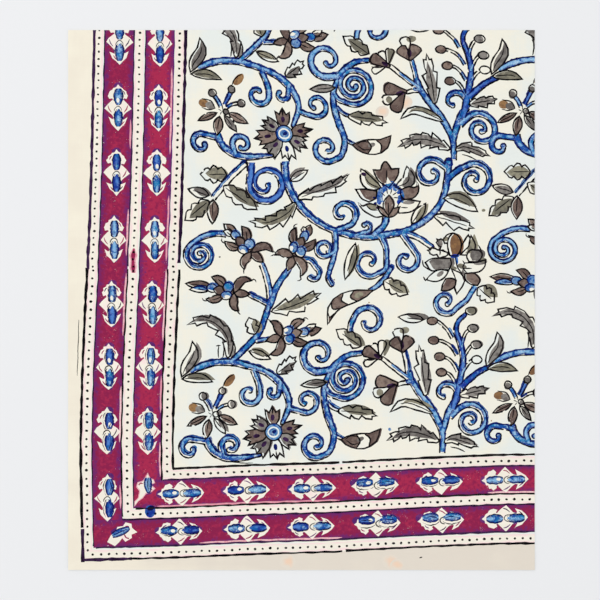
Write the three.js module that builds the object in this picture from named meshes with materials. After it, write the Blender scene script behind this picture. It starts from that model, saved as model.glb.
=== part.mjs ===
// A cut length of block-printed kalamkari cotton, lying face up on a flat surface.
// Millimetres, +Z up. The origin is under the middle of the cloth, on the surface that it rests on.
// +X points to the right of the print and +Y to its top, away from the bottom border.
import * as THREE from "three";

// Size of the cut piece.
const WIDTH = 350;
const LENGTH = 405;
const THICKNESS = 1;

// Widest side of the facets that follow the ripples.
const FACET = 12.5;

// Soft ripples left by folding and handling. Each row is one raised patch: its middle, its turn
// anticlockwise from +X in degrees, its length and width over the surface, and its height.
// The cloth lies flat between them and along its cut edges.
const RIPPLES = [
  { x: -98, y: 92, turn: 64, length: 200, width: 74, height: 0.9 },
  { x: 62, y: 118, turn: 24, length: 190, width: 66, height: 0.8 },
  { x: -88, y: -86, turn: 112, length: 210, width: 78, height: 1.0 },
  { x: 78, y: -34, turn: 78, length: 170, width: 62, height: 0.7 },
  { x: 42, y: -136, turn: 12, length: 210, width: 70, height: 0.9 },
];

// One soft swell: 1 at its middle, falling smoothly to 0 at half of its span and beyond.
function swell(distance, span) {
  const share = Math.min(Math.abs(distance) / (span / 2), 1);
  return Math.cos((share * Math.PI) / 2) ** 2;
}

// Height of one ripple over a point of the surface.
function rippleLift(ripple, x, y) {
  const turn = THREE.MathUtils.degToRad(ripple.turn);
  const eastward = x - ripple.x;
  const northward = y - ripple.y;
  const along = eastward * Math.cos(turn) + northward * Math.sin(turn);
  const across = northward * Math.cos(turn) - eastward * Math.sin(turn);
  return ripple.height * swell(along, ripple.length) * swell(across, ripple.width);
}

// Height by which the cloth leaves the surface at a point.
function liftAt(x, y) {
  return RIPPLES.reduce((lift, ripple) => lift + rippleLift(ripple, x, y), 0);
}

// The sheet: a thin slab in facets, with both faces raised alike so that it keeps its thickness.
function sheetGeometry() {
  const columns = Math.ceil(WIDTH / FACET);
  const rows = Math.ceil(LENGTH / FACET);
  const geometry = new THREE.BoxGeometry(WIDTH, LENGTH, THICKNESS, columns, rows, 1);
  geometry.translate(0, 0, THICKNESS / 2);
  const points = geometry.getAttribute("position");
  for (let index = 0; index < points.count; index += 1) {
    const lift = liftAt(points.getX(index), points.getY(index));
    points.setZ(index, points.getZ(index) + lift);
  }
  geometry.computeVertexNormals();
  return geometry;
}

// Undyed cotton showing through red, blue and black print, seen from a step away.
const printedCotton = new THREE.MeshStandardMaterial({
  color: 0xc3b3a4,
  roughness: 0.92,
  metalness: 0,
});

const cloth = new THREE.Mesh(sheetGeometry(), printedCotton);
cloth.name = "cloth";

const kalamkari = new THREE.Group();
kalamkari.add(cloth);

export default kalamkari;
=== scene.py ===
"""Looks of a cut length of block-printed kalamkari cotton, lying face up on a pale floor.

One thin sheet carries the whole print. Its face is cut along the outline of every printed shape, so
that each dye is a material of its own, and its underside shows the dyes that soaked through.

The print is made as a block printer makes it. A line block prints the ink outlines, colour blocks
print the blues and earth colours a little off register, and the same blocks are set down four times
to fill the field. A red border of two bands, three rows of pin dots and black rules turns the corner.

Sizes in the charts are millimetres in the block's frame, whose origin is the inner corner of the
border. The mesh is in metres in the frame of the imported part.
"""

import logging
import math
import random
from collections.abc import Iterable
from dataclasses import dataclass, field, replace
from enum import Enum
from functools import partial

import bpy
import numpy as np
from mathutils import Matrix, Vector
from mathutils.geometry import delaunay_2d_cdt


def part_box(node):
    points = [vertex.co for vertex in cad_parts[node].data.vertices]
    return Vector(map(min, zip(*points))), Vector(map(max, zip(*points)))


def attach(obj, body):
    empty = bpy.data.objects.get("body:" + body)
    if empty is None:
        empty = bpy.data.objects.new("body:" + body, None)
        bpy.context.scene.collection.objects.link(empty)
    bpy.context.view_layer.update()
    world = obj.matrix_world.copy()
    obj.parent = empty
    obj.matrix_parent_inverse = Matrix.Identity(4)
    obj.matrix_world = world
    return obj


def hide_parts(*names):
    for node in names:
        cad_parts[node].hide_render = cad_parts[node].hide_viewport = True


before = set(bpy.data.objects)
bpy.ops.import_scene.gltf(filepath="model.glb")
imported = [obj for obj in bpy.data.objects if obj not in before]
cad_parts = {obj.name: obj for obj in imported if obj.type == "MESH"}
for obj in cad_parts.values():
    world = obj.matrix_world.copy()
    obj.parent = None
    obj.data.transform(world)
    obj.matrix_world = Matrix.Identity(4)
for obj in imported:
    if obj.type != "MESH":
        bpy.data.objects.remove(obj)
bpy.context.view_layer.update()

Point = tuple[float, float]

MM = 0.001

# The inner corner of the border, in the cloth's own frame.
BLOCK_CORNER = (-96.4, -126.75)

# Soft ripples of the sheet: middle, turn from +X in degrees, length, width and height.
RIPPLES = (
    (-98, 92, 64, 200, 74, 0.9),
    (62, 118, 24, 190, 66, 0.8),
    (-88, -86, 112, 210, 78, 1.0),
    (78, -34, 78, 170, 62, 0.7),
    (42, -136, 12, 210, 70, 0.9),
)

# Widths of the lines that the wooden block carries.
OUTLINE = 1.2
VEIN = 0.9

# Distance between points along printed outlines.
CURVE_STEP = 1.7

# Width of the strip along the underside's edge that no outline is cut into, so that its edge has the
# same points as the face's.
EDGE_STRIP = 0.6

# Size from which a coloured shape shows on the underside.
SOAKS_FROM = 5.0

# Distance between the points that carry the ripples where nothing is printed.
GRID_STEP = 9.0

# Widest shifts by hand cutting and hand printing: of printed shapes, of the cleared insides of their
# outlines and of the points between them.
PRINT_WOBBLE = 0.22
CLEAR_WOBBLE = 0.32
GRID_WOBBLE = 0.9

# Width over which the blue of a vine darkens towards its edges.
VINE_RIM = 5.0

# The flat map: the margin around the face, and the corner and width of the underside's smaller map.
MAP_MARGIN = 4.0
BACK_MAP_CORNER = (0.875, 0.02)
BACK_MAP_WIDTH = 0.12

# How far the threads of the weave wander and how high they stand, in metres.
THREAD_SWAY = 0.00025
THREAD_HEIGHT = 0.00008

# Share of a dye's own colour on the underside, and how worn it looks there.
SOAKED_SHARE = 0.38
SOAKED_WEAR = 0.9

# Height of the printed face that the camera is set over, in metres.
FACE_HEIGHT = 0.0013

FLOOR_PAINT = (237, 238, 240)

log = logging.getLogger("kalamkari")


class Dye(Enum):
    """What a piece of the printed face is coloured with."""

    FIELD = "field_cotton"
    MARGIN = "margin_cotton"
    STRIP = "rosy_cotton"
    BLUSH = "blushed_cotton"
    CRIMSON = "crimson_dye"
    OLIVE = "olive_dye"
    TAUPE = "taupe_dye"
    MAUVE = "mauve_dye"
    OCHRE = "ochre_dye"
    INDIGO = "indigo_dye"
    DEEP = "deep_indigo_dye"
    VIOLET = "violet_overprint"
    STAIN = "rust_stain"
    INK = "black_ink"
    NAVY = "blue_black_ink"
    PLUM = "purple_black_ink"


DYES = list(Dye)


class Plate(Enum):
    """Which of the printer's blocks a shape is cut on."""

    COLOUR = "colour"
    LINE = "line"


class Form(Enum):
    """Outline of a leaf or petal."""

    LENS = "lens"
    TOOTHED = "toothed"
    LOBED = "lobed"
    FAN = "fan"


class Layer:
    """Order in which shapes of one block cover each other."""

    BAND = 0
    MARGIN = 1
    VINE = 2
    BLADE = 10
    DETAIL = 4000


def smooth_path(points: Iterable[Point], step: float) -> np.ndarray:
    """Runs a smooth curve through a few points.

    Args:
        points: Points that the curve passes, in order.
        step: Distance between the points given back.

    Returns:
        Points along the curve, one row each.
    """
    knots = np.array(list(points), dtype=float)
    if len(knots) == 2:
        count = max(2, math.ceil(np.linalg.norm(knots[1] - knots[0]) / step) + 1)
        return np.linspace(knots[0], knots[1], count)
    padded = np.vstack([2 * knots[0] - knots[1], knots, 2 * knots[-1] - knots[-2]])
    shares = np.linspace(0.0, 1.0, 12, endpoint=False)[:, None]
    pieces = []
    for before, start, end, after in zip(padded, padded[1:], padded[2:], padded[3:]):
        pieces.append(
            0.5
            * (
                2 * start
                + (end - before) * shares
                + (2 * before - 5 * start + 4 * end - after) * shares**2
                + (3 * start - before - 3 * end + after) * shares**3
            )
        )
    fine = np.vstack([*pieces, knots[-1:]])
    run = run_length(fine)
    count = max(2, math.ceil(run[-1] / step) + 1)
    stations = np.linspace(0.0, run[-1], count)
    return read_along(fine, run, stations)


def run_length(points: np.ndarray) -> np.ndarray:
    """Gives the running distance along a line at each of its points, starting at 0."""
    return np.concatenate([[0.0], np.cumsum(np.linalg.norm(np.diff(points, axis=0), axis=1))])


def read_along(rows: np.ndarray, run: np.ndarray, places: float | np.ndarray) -> np.ndarray:
    """Reads a line's points or normals at one or more running distances."""
    return np.stack([np.interp(places, run, rows[:, axis]) for axis in (0, 1)], axis=-1)


def left_normals(points: np.ndarray, closed: bool = False) -> np.ndarray:
    """Gives the unit direction to the left of a line at each of its points.

    Args:
        points: The line's points.
        closed: Whether the last point is joined to the first.

    Returns:
        One unit vector for each point.
    """
    if closed:
        along = np.roll(points, -1, axis=0) - np.roll(points, 1, axis=0)
    else:
        along = np.gradient(points, axis=0)
    length = np.maximum(np.linalg.norm(along, axis=1, keepdims=True), 1e-9)
    return np.column_stack([-along[:, 1], along[:, 0]]) / length


def ribbon(path: np.ndarray, halves: np.ndarray, cap: bool = True) -> np.ndarray:
    """Outlines a band of changing width around a line.

    Args:
        path: Middle line of the band.
        halves: Half of its width at each point.
        cap: Whether the far end is rounded.

    Returns:
        The closed outline, anticlockwise along its right side first.
    """
    normals = left_normals(path)
    left = path + normals * halves[:, None]
    right = path - normals * halves[:, None]
    sides = [right]
    if cap:
        across = normals[-1] * halves[-1]
        front = path[-1] + np.array([across[1], -across[0]]) * 0.8
        sides.append(np.array([front - across * 0.6, front + across * 0.6]))
    sides.append(left[::-1])
    return np.vstack(sides)


def ring(centre: Point, radius_x: float, radius_y: float, turn: float = 0.0) -> np.ndarray:
    """Outlines a circle or an ellipse.

    Args:
        centre: Its middle.
        radius_x: Half of its length.
        radius_y: Half of its width.
        turn: Turn of its length from +X, in degrees.

    Returns:
        The closed outline, anticlockwise.
    """
    count = max(7, math.ceil(math.pi * (radius_x + radius_y) / CURVE_STEP))
    angles = np.linspace(0.0, math.tau, count, endpoint=False)
    flat = np.column_stack([radius_x * np.cos(angles), radius_y * np.sin(angles)])
    return turned(flat, turn) + np.array(centre)


def turned(points: np.ndarray, degrees: float) -> np.ndarray:
    """Turns points anticlockwise about the origin."""
    angle = math.radians(degrees)
    return points @ np.array([[math.cos(angle), math.sin(angle)], [-math.sin(angle), math.cos(angle)]])


def polar(centre: Point, degrees: float, away: float) -> Point:
    """Gives the point at a distance from a centre, in a direction anticlockwise from +X."""
    angle = math.radians(degrees)
    return centre[0] + away * math.cos(angle), centre[1] + away * math.sin(angle)


def inside(points: np.ndarray, outline: np.ndarray) -> np.ndarray:
    """Tells which points lie within a closed outline.

    Args:
        points: Points to test.
        outline: The outline, which may pass over itself.

    Returns:
        One truth value for each point.
    """
    ends = np.roll(outline, -1, axis=0)
    px, py = points[:, :1], points[:, 1:2]
    left = (ends[:, 0] - outline[:, 0]) * (py - outline[:, 1]) - (px - outline[:, 0]) * (
        ends[:, 1] - outline[:, 1]
    )
    rising = (outline[:, 1] <= py) & (ends[:, 1] > py) & (left > 0)
    falling = (outline[:, 1] > py) & (ends[:, 1] <= py) & (left < 0)
    return rising.sum(axis=1) != falling.sum(axis=1)


def distance_to_line(points: np.ndarray, line: np.ndarray) -> tuple[np.ndarray, np.ndarray]:
    """Measures how far points are from a line of straight stretches.

    Args:
        points: Points to measure from.
        line: The line's points.

    Returns:
        The distances, and the place of each nearest point as a number of stretches from the start.
    """
    starts, steps = line[:-1], np.diff(line, axis=0)
    lengths = np.maximum((steps**2).sum(axis=1), 1e-12)
    offsets = points[:, None, :] - starts[None, :, :]
    shares = np.clip((offsets * steps).sum(axis=2) / lengths, 0.0, 1.0)
    gaps = np.linalg.norm(offsets - shares[..., None] * steps, axis=2)
    nearest = gaps.argmin(axis=1)
    rows = np.arange(len(points))
    return gaps[rows, nearest], nearest + shares[rows, nearest]


def hand_wobble(points: np.ndarray, size: float, phase: float = 0.0) -> np.ndarray:
    """Shifts points by the small unevenness of hand cutting and hand printing.

    Args:
        points: Points on the cloth.
        size: Widest shift.
        phase: Which of many patterns of unevenness it is.

    Returns:
        The shifted points.
    """
    x, y = points[:, 0], points[:, 1]
    shift_x = np.sin(0.61 * x + 0.37 * y + 1.0 + phase) + 0.6 * np.sin(1.7 * y - 0.9 * x - phase)
    shift_y = np.sin(0.53 * y - 0.41 * x + 2.0 - phase) + 0.6 * np.sin(1.5 * x + 1.1 * y + phase)
    return points + size * 0.6 * np.column_stack([shift_x, shift_y])


@dataclass
class Patch:
    """One printed shape on the cloth.

    A patch without a dye leaves bare what its block printed below it. The rim is the width over
    which a dye darkens towards the edge of the band around its spine; on the bare margin this darkening is
    painted shade.
    """

    outline: np.ndarray
    plate: Plate
    order: float
    dye: Dye | None
    tone: float = 0.5
    spine: np.ndarray | None = None
    halves: np.ndarray | None = None
    rim: float = 0.0
    low: np.ndarray = field(init=False)
    high: np.ndarray = field(init=False)

    def __post_init__(self) -> None:
        """Keeps the box around the outline."""
        self.low = self.outline.min(axis=0)
        self.high = self.outline.max(axis=0)

    def soaks(self) -> bool:
        """Tells whether the shape is large enough to show on the underside."""
        wide = (self.high - self.low).max() > SOAKS_FROM
        return wide and self.plate is Plate.COLOUR and self.dye not in (Dye.VIOLET, Dye.NAVY, Dye.PLUM)

    def soaked(self) -> "Patch":
        """Gives the shape as it shows on the underside, softer and evenly dyed."""
        outline = self.outline[::2] if len(self.outline) > 12 else self.outline
        return replace(self, outline=outline, spine=None)

    def depth(self, points: np.ndarray) -> np.ndarray:
        """Gives how far towards its darker rim the dye is at some points.

        Args:
            points: Points on the patch.

        Returns:
            0 in the middle of the band and 1 at its edges.
        """
        if self.spine is None or self.halves is None:
            return np.full(len(points), 0.5)
        gaps, places = distance_to_line(points, self.spine)
        halves = np.interp(places, np.arange(len(self.halves)), self.halves)
        rims = np.minimum(self.rim, halves)
        return np.clip((gaps - halves + rims) / rims, 0.0, 1.0)


@dataclass
class Print:
    """All the shapes printed on the cloth, in the cloth's frame."""

    width: float
    length: float
    patches: list[Patch] = field(default_factory=list)

    @property
    def half(self) -> np.ndarray:
        """Gives half of the cloth's width and of its length."""
        return np.array([self.width, self.length]) / 2

    def add(self, patch: Patch) -> None:
        """Keeps a patch if any of it is on the cloth.

        Args:
            patch: The patch.
        """
        if (patch.high > -self.half).all() and (patch.low < self.half).all():
            self.patches.append(patch)

    def resolve(self, points: np.ndarray, shapes: list[Patch]) -> tuple[np.ndarray, np.ndarray]:
        """Finds which dye shows at each point.

        Args:
            points: Points on the cloth.
            shapes: The patches that count.

        Returns:
            For each point, the index of the patch that shows there and the number of its dye. Black
            over blue is the mixed dye, and both are -1 where nothing is printed.
        """
        winner = np.full((len(points), 2), -1)
        best = np.full((len(points), 2), -1.0)
        by_x = np.argsort(points[:, 0], kind="stable")
        sorted_x = points[by_x, 0]
        for index, shape in enumerate(shapes):
            first, last = np.searchsorted(sorted_x, (shape.low[0], shape.high[0]))
            near = by_x[first:last]
            y = points[near, 1]
            near = near[(y >= shape.low[1]) & (y <= shape.high[1])]
            column = 0 if shape.plate is Plate.COLOUR else 1
            near = near[best[near, column] <= shape.order]
            if len(near) == 0:
                continue
            hit = near[inside(points[near], shape.outline)]
            winner[hit, column] = index
            best[hit, column] = shape.order
        numbers = [-1 if shape.dye is None else DYES.index(shape.dye) for shape in shapes]
        below, above = np.array([*numbers, -1])[winner].T
        shown = np.where(above >= 0, winner[:, 1], winner[:, 0])
        dyes = np.where(above >= 0, above, below)
        blue = (below == DYES.index(Dye.INDIGO)) | (below == DYES.index(Dye.DEEP))
        mixed = (above == DYES.index(Dye.INK)) & blue
        dyes[mixed] = DYES.index(Dye.NAVY)
        return np.where(dyes >= 0, shown, -1), dyes


@dataclass(frozen=True)
class Stamp:
    """One setting-down of the blocks on the cloth.

    Its place is the shift from the lower left print. The slips are how far off register the block
    of the greys and that of the blue land.
    """

    x: float = 0.0
    y: float = 0.0
    lean: float = 0.0
    rise: float = 0.0
    drop: float = 0.0
    bow: float = 0.0
    slip: Point = (0.0, 0.0)
    blue_slip: Point = (0.0, 0.0)
    seed: int = 1

    def place(self, points: np.ndarray) -> np.ndarray:
        """Moves points from the block's frame to the cloth.

        Args:
            points: Points in the block's frame.

        Returns:
            The points in the cloth's frame.
        """
        x, y = points[:, 0], points[:, 1]
        sag = self.bow * np.sin(np.clip(x / 210.0, 0.0, 1.0) * math.pi)
        across = x + self.x + self.lean * y
        up = y + self.y + self.rise * x + self.drop * y + sag
        moved = np.column_stack([across, up])
        return hand_wobble(moved + np.array(BLOCK_CORNER), PRINT_WOBBLE)


@dataclass
class Press:
    """Prints the shapes of the blocks at one stamp, and counts the leaves and petals."""

    sheet: Print
    stamp: Stamp
    blades: int = 0
    draw: random.Random = field(init=False)

    def __post_init__(self) -> None:
        """Starts the stamp's own unevenness."""
        self.draw = random.Random(self.stamp.seed)

    def next_order(self) -> float:
        """Gives the place of the next leaf or petal, above those before it."""
        self.blades += 1
        return Layer.BLADE + 2.0 * self.blades

    def ink(self, outline: np.ndarray, order: float, dye: Dye = Dye.INK) -> None:
        """Prints a shape of the line block."""
        tone = self.draw.random()
        self.sheet.add(Patch(self.stamp.place(outline), Plate.LINE, order, dye, tone))

    def clear(self, outline: np.ndarray, order: float) -> None:
        """Leaves a shape free of ink, with an edge as uneven as the line around it."""
        uneven = hand_wobble(self.stamp.place(outline), CLEAR_WOBBLE, 2.3)
        self.sheet.add(Patch(uneven, Plate.LINE, order, None))

    def slip_of(self, dye: Dye | None, own: Point = (0.0, 0.0)) -> Point:
        """Gives how far off register the colour of one shape lands.

        Args:
            dye: Its dye. The blue, the browns and the greys each have a block of their own.
            own: What the shape itself adds.

        Returns:
            The shift to the right and to the top.
        """
        share = 0.35 if dye in (Dye.MAUVE, Dye.OCHRE) else 1.0
        blue = dye in (Dye.INDIGO, Dye.DEEP)
        east, north = self.stamp.blue_slip if blue else self.stamp.slip
        loose = 0.3 if blue else 0.2
        return (
            own[0] + share * east + self.draw.uniform(-loose, loose),
            own[1] + share * north + self.draw.uniform(-loose, loose),
        )

    def skip(self, outline: np.ndarray, order: float) -> None:
        """Now and then leaves a short break in an ink outline, where the block didn't touch.

        Args:
            outline: The outline.
            order: Layer of the break.
        """
        if self.draw.random() < 0.4:
            at = self.draw.choice(outline.tolist())
            self.clear(ring((at[0], at[1]), 1.1, 1.1), order)

    def hide_vines(self, outline: np.ndarray) -> None:
        """Leaves a shape free of the blue of the vines behind it."""
        self.sheet.add(Patch(self.stamp.place(outline), Plate.COLOUR, Layer.VINE + 0.5, None))

    def stroke(self, points: Iterable[Point], width: float = VEIN, order: float | None = None) -> None:
        """Prints an ink line that swells in its middle.

        Args:
            points: Points that the line passes.
            width: Its widest.
            order: Its layer, above all leaves unless given.
        """
        path = smooth_path(points, CURVE_STEP)
        share = np.linspace(0.0, 1.0, len(path))
        halves = 0.5 * width * (0.45 + 0.55 * np.sin(math.pi * share) ** 0.5)
        self.ink(ribbon(path, halves), Layer.DETAIL if order is None else order)

    def colour(
        self,
        outline: np.ndarray,
        dye: Dye | None,
        order: float,
        slip: Point = (0.0, 0.0),
        spine: np.ndarray | None = None,
        halves: np.ndarray | None = None,
        rim: float = 0.0,
    ) -> None:
        """Prints a coloured shape.

        Args:
            outline: Its outline in the block's frame.
            dye: Its dye, or None to leave the cloth bare.
            order: Its layer.
            slip: How far off register it lands.
            spine: Middle line of a band that darkens towards its edges.
            halves: Half widths of that band.
            rim: Width over which it darkens.
        """
        shift = np.array(slip)
        placed_spine = None if spine is None else self.stamp.place(spine + shift)
        tone = self.draw.random()
        placed = self.stamp.place(outline + shift)
        self.sheet.add(Patch(placed, Plate.COLOUR, order, dye, tone, placed_spine, halves, rim))


@dataclass(frozen=True)
class Curl:
    """The winding end of a tendril. Turns are anticlockwise, and negative ones clockwise."""

    centre: Point
    turns: float
    inner: float = 2.0
    tightening: float = 2.0

    def wind(self, start: Point) -> list[Point]:
        """Winds from a starting point towards the centre.

        Args:
            start: The point where the curl begins.

        Returns:
            The points after it.
        """
        east, north = start[0] - self.centre[0], start[1] - self.centre[1]
        radius, heading = math.hypot(east, north), math.atan2(north, east)
        count = max(5, math.ceil(abs(self.turns) * 11))
        points = []
        for index in range(1, count + 1):
            share = index / count
            reach = radius + (self.inner - radius) * share**self.tightening
            angle = heading + share * self.turns * math.tau
            x = self.centre[0] + reach * math.cos(angle)
            y = self.centre[1] + reach * math.sin(angle)
            points.append((x, y))
        return points


@dataclass(frozen=True)
class Tendril:
    """A vine, stem or scroll: blue between two dark lines, with an optional curl at its end.

    The blue covers a share of its length from its foot, and a share of its width.
    """

    route: tuple[Point, ...]
    widths: tuple[float, ...]
    curl: Curl | None = None
    slip: Point = (0.0, 0.0)
    reach: float = 1.0
    fullness: float = 1.08
    dye: Dye = Dye.INDIGO

    def print_on(self, press: Press) -> None:
        """Prints the tendril.

        Args:
            press: The press.
        """
        knots = list(self.route)
        if self.curl is not None:
            knots += self.curl.wind(self.route[-1])
        path = smooth_path(knots, CURVE_STEP)
        share = np.linspace(0.0, 1.0, len(path))
        halves = np.interp(share, np.linspace(0.0, 1.0, len(self.widths)), self.widths)
        run = run_length(path) + press.draw.uniform(0.0, 40.0)
        swell = 0.26 * np.sin(0.71 * run) + 0.2 * np.sin(1.6 * run)
        outer = ribbon(path, halves + OUTLINE / 2 + 0.4 * swell)
        inner = ribbon(path, np.maximum(halves - OUTLINE / 2 - 0.6 * swell, 0.3), cap=False)
        slip = press.slip_of(self.dye, self.slip)
        press.ink(outer, Layer.VINE)
        press.clear(inner, Layer.VINE + 1)
        blue = max(2, round(len(path) * self.reach))
        bluish = (halves * self.fullness * (1 + 0.4 * swell[::-1]))[:blue]
        spine = path[:blue]
        press.colour(ribbon(spine, bluish), self.dye, Layer.VINE, slip, spine, bluish, VINE_RIM)
        if self.curl is not None:
            radius = halves[-1] + 0.55
            press.ink(ring(path[-1], radius + OUTLINE / 2, radius + OUTLINE / 2), Layer.VINE)
            press.clear(ring(path[-1], radius - OUTLINE / 2, radius - OUTLINE / 2), Layer.VINE + 1)
            press.colour(ring(path[-1], radius, radius), self.dye, Layer.VINE, slip)
        for _ in range(round(run_length(path)[-1] / 30)):
            press.skip(outer, Layer.VINE + 1)


@dataclass(frozen=True)
class Blade:
    """A leaf or petal drawn around a spine from its foot to its tip.

    A banded one leaves gaps of its length bare, each between two slanting ink lines.
    """

    spine: tuple[Point, ...]
    half: float
    form: Form = Form.LENS
    dye: Dye | None = Dye.OLIVE
    slip: Point = (0.0, 0.0)
    bend: float = 0.0
    teeth: int = 4
    vein: bool = True
    fill: float = 0.75
    gaps: tuple[tuple[float, float], ...] = ()

    def profile(self, side: float = 1.0) -> list[Point]:
        """Gives the outline's half width along one side.

        Args:
            side: 1 for the left side and -1 for the right one.

        Returns:
            Pairs of the share of the length and the share of the half width.
        """
        match self.form:
            case Form.LENS:
                shares = np.linspace(0.0, 1.0, 9)
                return [(share, math.sin(math.pi * share**0.9) ** 0.85) for share in shares[1:-1]]
            case Form.FAN:
                return [(0.0, 0.2), (0.3, 0.52), (0.6, 0.84), (0.84, 1.0), (0.95, 0.72), (0.99, 0.4)]
            case Form.TOOTHED:
                return self.toothed_profile(side)
            case Form.LOBED:
                return self.lobed_profile()

    def envelope(self, share: float) -> float:
        """Gives the width of a cut leaf without its teeth, as a share of its widest."""
        return math.sin(math.pi * min(max(share, 0.02), 0.98) ** 0.85) ** 0.65

    def toothed_profile(self, side: float) -> list[Point]:
        """Gives the side of a leaf with uneven teeth that point forward.

        Args:
            side: 1 for the left side and -1 for the right one.

        Returns:
            Pairs of the share of the length and the share of the half width.
        """
        draw = random.Random(f"{self.spine} {side}")
        step = 0.88 / self.teeth
        pairs = []
        for tooth in range(self.teeth):
            notch = (tooth + 0.02 + draw.uniform(0.0, 0.2)) * step
            point = (tooth + 0.98 - draw.uniform(0.0, 0.2)) * step
            middle = (notch + point) / 2
            pairs.append((notch, draw.uniform(0.46, 0.74) * self.envelope(notch + 0.06)))
            pairs.append((middle, draw.uniform(0.84, 0.98) * self.envelope(middle)))
            pairs.append((point + 0.03, draw.uniform(0.94, 1.4) * self.envelope(point)))
        pairs.append((0.88, 0.42 * self.envelope(0.86)))
        return pairs

    def lobed_profile(self) -> list[Point]:
        """Gives the side of a leaf with rounded lobes.

        Returns:
            Pairs of the share of the length and the share of the half width.
        """
        pairs = []
        for lobe in range(self.teeth):
            for part, reach in ((0.05, 0.66), (0.3, 1.0), (0.62, 1.12), (0.9, 0.86)):
                share = (lobe + part) / self.teeth * 0.92
                pairs.append((share, reach * self.envelope(share)))
        return pairs

    def curve(self) -> np.ndarray:
        """Gives the spine as a smooth line.

        Returns:
            Points from foot to tip.
        """
        knots = list(self.spine)
        if len(knots) == 2 and self.bend:
            foot, tip = np.array(knots[0], float), np.array(knots[1], float)
            along = (tip - foot) / np.linalg.norm(tip - foot)
            middle = (foot + tip) / 2 + self.bend * np.array([-along[1], along[0]])
            knots = [knots[0], tuple(middle), knots[1]]
        return smooth_path(knots, 1.0)

    def outline(self, grow: float, plain: bool = False) -> np.ndarray:
        """Outlines the blade.

        Args:
            grow: Distance by which the outline stands outside the drawn one.
            plain: Whether teeth and lobes are left off.

        Returns:
            The closed outline.
        """
        path = self.curve()
        run = run_length(path)
        run = run / run[-1]
        normals = left_normals(path)
        cut = self.form in (Form.TOOTHED, Form.LOBED)
        drawn = replace(self, form=Form.LENS) if plain and cut else self
        sides = []
        for sign in (-1.0, 1.0):
            rows = []
            for share, width in drawn.profile(sign):
                normal = read_along(normals, run, share)
                rows.append(read_along(path, run, share) + sign * normal * self.half * width)
            sides.append(np.array(rows))
        closed = np.vstack([path[:1], sides[0], path[-1:], sides[1][::-1]])
        if self.form is Form.FAN:
            closed = closed[1:]
        return grown(closed, grow)

    def print_on(self, press: Press) -> None:
        """Prints the blade's colour, outline and veins.

        Args:
            press: The press.
        """
        order = press.next_order()
        if self.dye is not None:
            outline = self.outline(-(1.0 - self.fill) * self.half * 0.6, plain=True)
            press.colour(outline, self.dye, order, press.slip_of(self.dye, self.slip))
        outer = self.outline(OUTLINE / 2)
        press.hide_vines(outer)
        press.ink(outer, order)
        press.clear(self.outline(-OUTLINE / 2), order + 1)
        press.skip(outer, order + 1)
        path = self.curve()
        for first, last in self.gaps:
            self.print_gap(press, first, last, order + 1.5)
        if self.vein and not self.gaps:
            reach = max(3, round(len(path) * 0.82))
            first = max(0, round(len(path) * 0.06))
            press.stroke([tuple(at) for at in path[first:reach:4]], VEIN, order + 1.5)

    def print_gap(self, press: Press, first: float, last: float, order: float) -> None:
        """Leaves one stretch of a banded leaf bare.

        Args:
            press: The press.
            first: Where the stretch begins, as a share of the leaf's length.
            last: Where it ends.
            order: Its layer.
        """
        path = self.curve()
        normals = left_normals(path)
        run = run_length(path)
        edges = []
        for share in (first, last):
            edge = []
            for side, ahead in ((-1.0, 0.0), (0.0, 0.08), (1.0, -0.02)):
                place = (share + ahead) * run[-1]
                reach = side * self.half * math.sin(math.pi * share**0.9) ** 0.85
                edge.append(read_along(path, run, place) + read_along(normals, run, place) * reach)
            edges.append(np.array(edge))
        press.colour(np.vstack([edges[0][::-1], edges[1]])[::-1], None, order)
        for edge in edges:
            press.stroke([tuple(at) for at in edge], OUTLINE, order)


def grown(outline: np.ndarray, distance: float) -> np.ndarray:
    """Moves a closed anticlockwise outline outwards, or inwards for a negative distance.

    Args:
        outline: The outline.
        distance: How far it moves.

    Returns:
        The moved outline.
    """
    before = outline - np.roll(outline, 1, axis=0)
    after = np.roll(outline, -1, axis=0) - outline
    before /= np.maximum(np.linalg.norm(before, axis=1, keepdims=True), 1e-9)
    after /= np.maximum(np.linalg.norm(after, axis=1, keepdims=True), 1e-9)
    out_before = np.column_stack([before[:, 1], -before[:, 0]])
    out_after = np.column_stack([after[:, 1], -after[:, 0]])
    corner = out_before + out_after
    length = np.maximum(np.linalg.norm(corner, axis=1, keepdims=True), 0.55)
    corner = corner / length
    stretch = np.clip(2.0 / length, 1.0, 1.9)
    return outline + corner * distance * stretch


@dataclass(frozen=True)
class Bead:
    """A round berry, bud or ring with an ink outline."""

    centre: Point
    radius: float
    dye: Dye | None = Dye.TAUPE
    height: float = 0.0
    slip: Point = (0.0, 0.0)
    turn: float = 0.0

    def print_on(self, press: Press) -> None:
        """Prints the bead.

        Args:
            press: The press.
        """
        order = press.next_order()
        tall = self.height or self.radius
        if self.dye is not None:
            slip = press.slip_of(self.dye, self.slip)
            press.colour(ring(self.centre, self.radius, tall, self.turn), self.dye, order, slip)
        half = OUTLINE * 0.45
        outer = ring(self.centre, self.radius + half, tall + half, self.turn)
        press.hide_vines(outer)
        press.ink(outer, order)
        press.clear(ring(self.centre, self.radius - half, tall - half, self.turn), order + 1)


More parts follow.
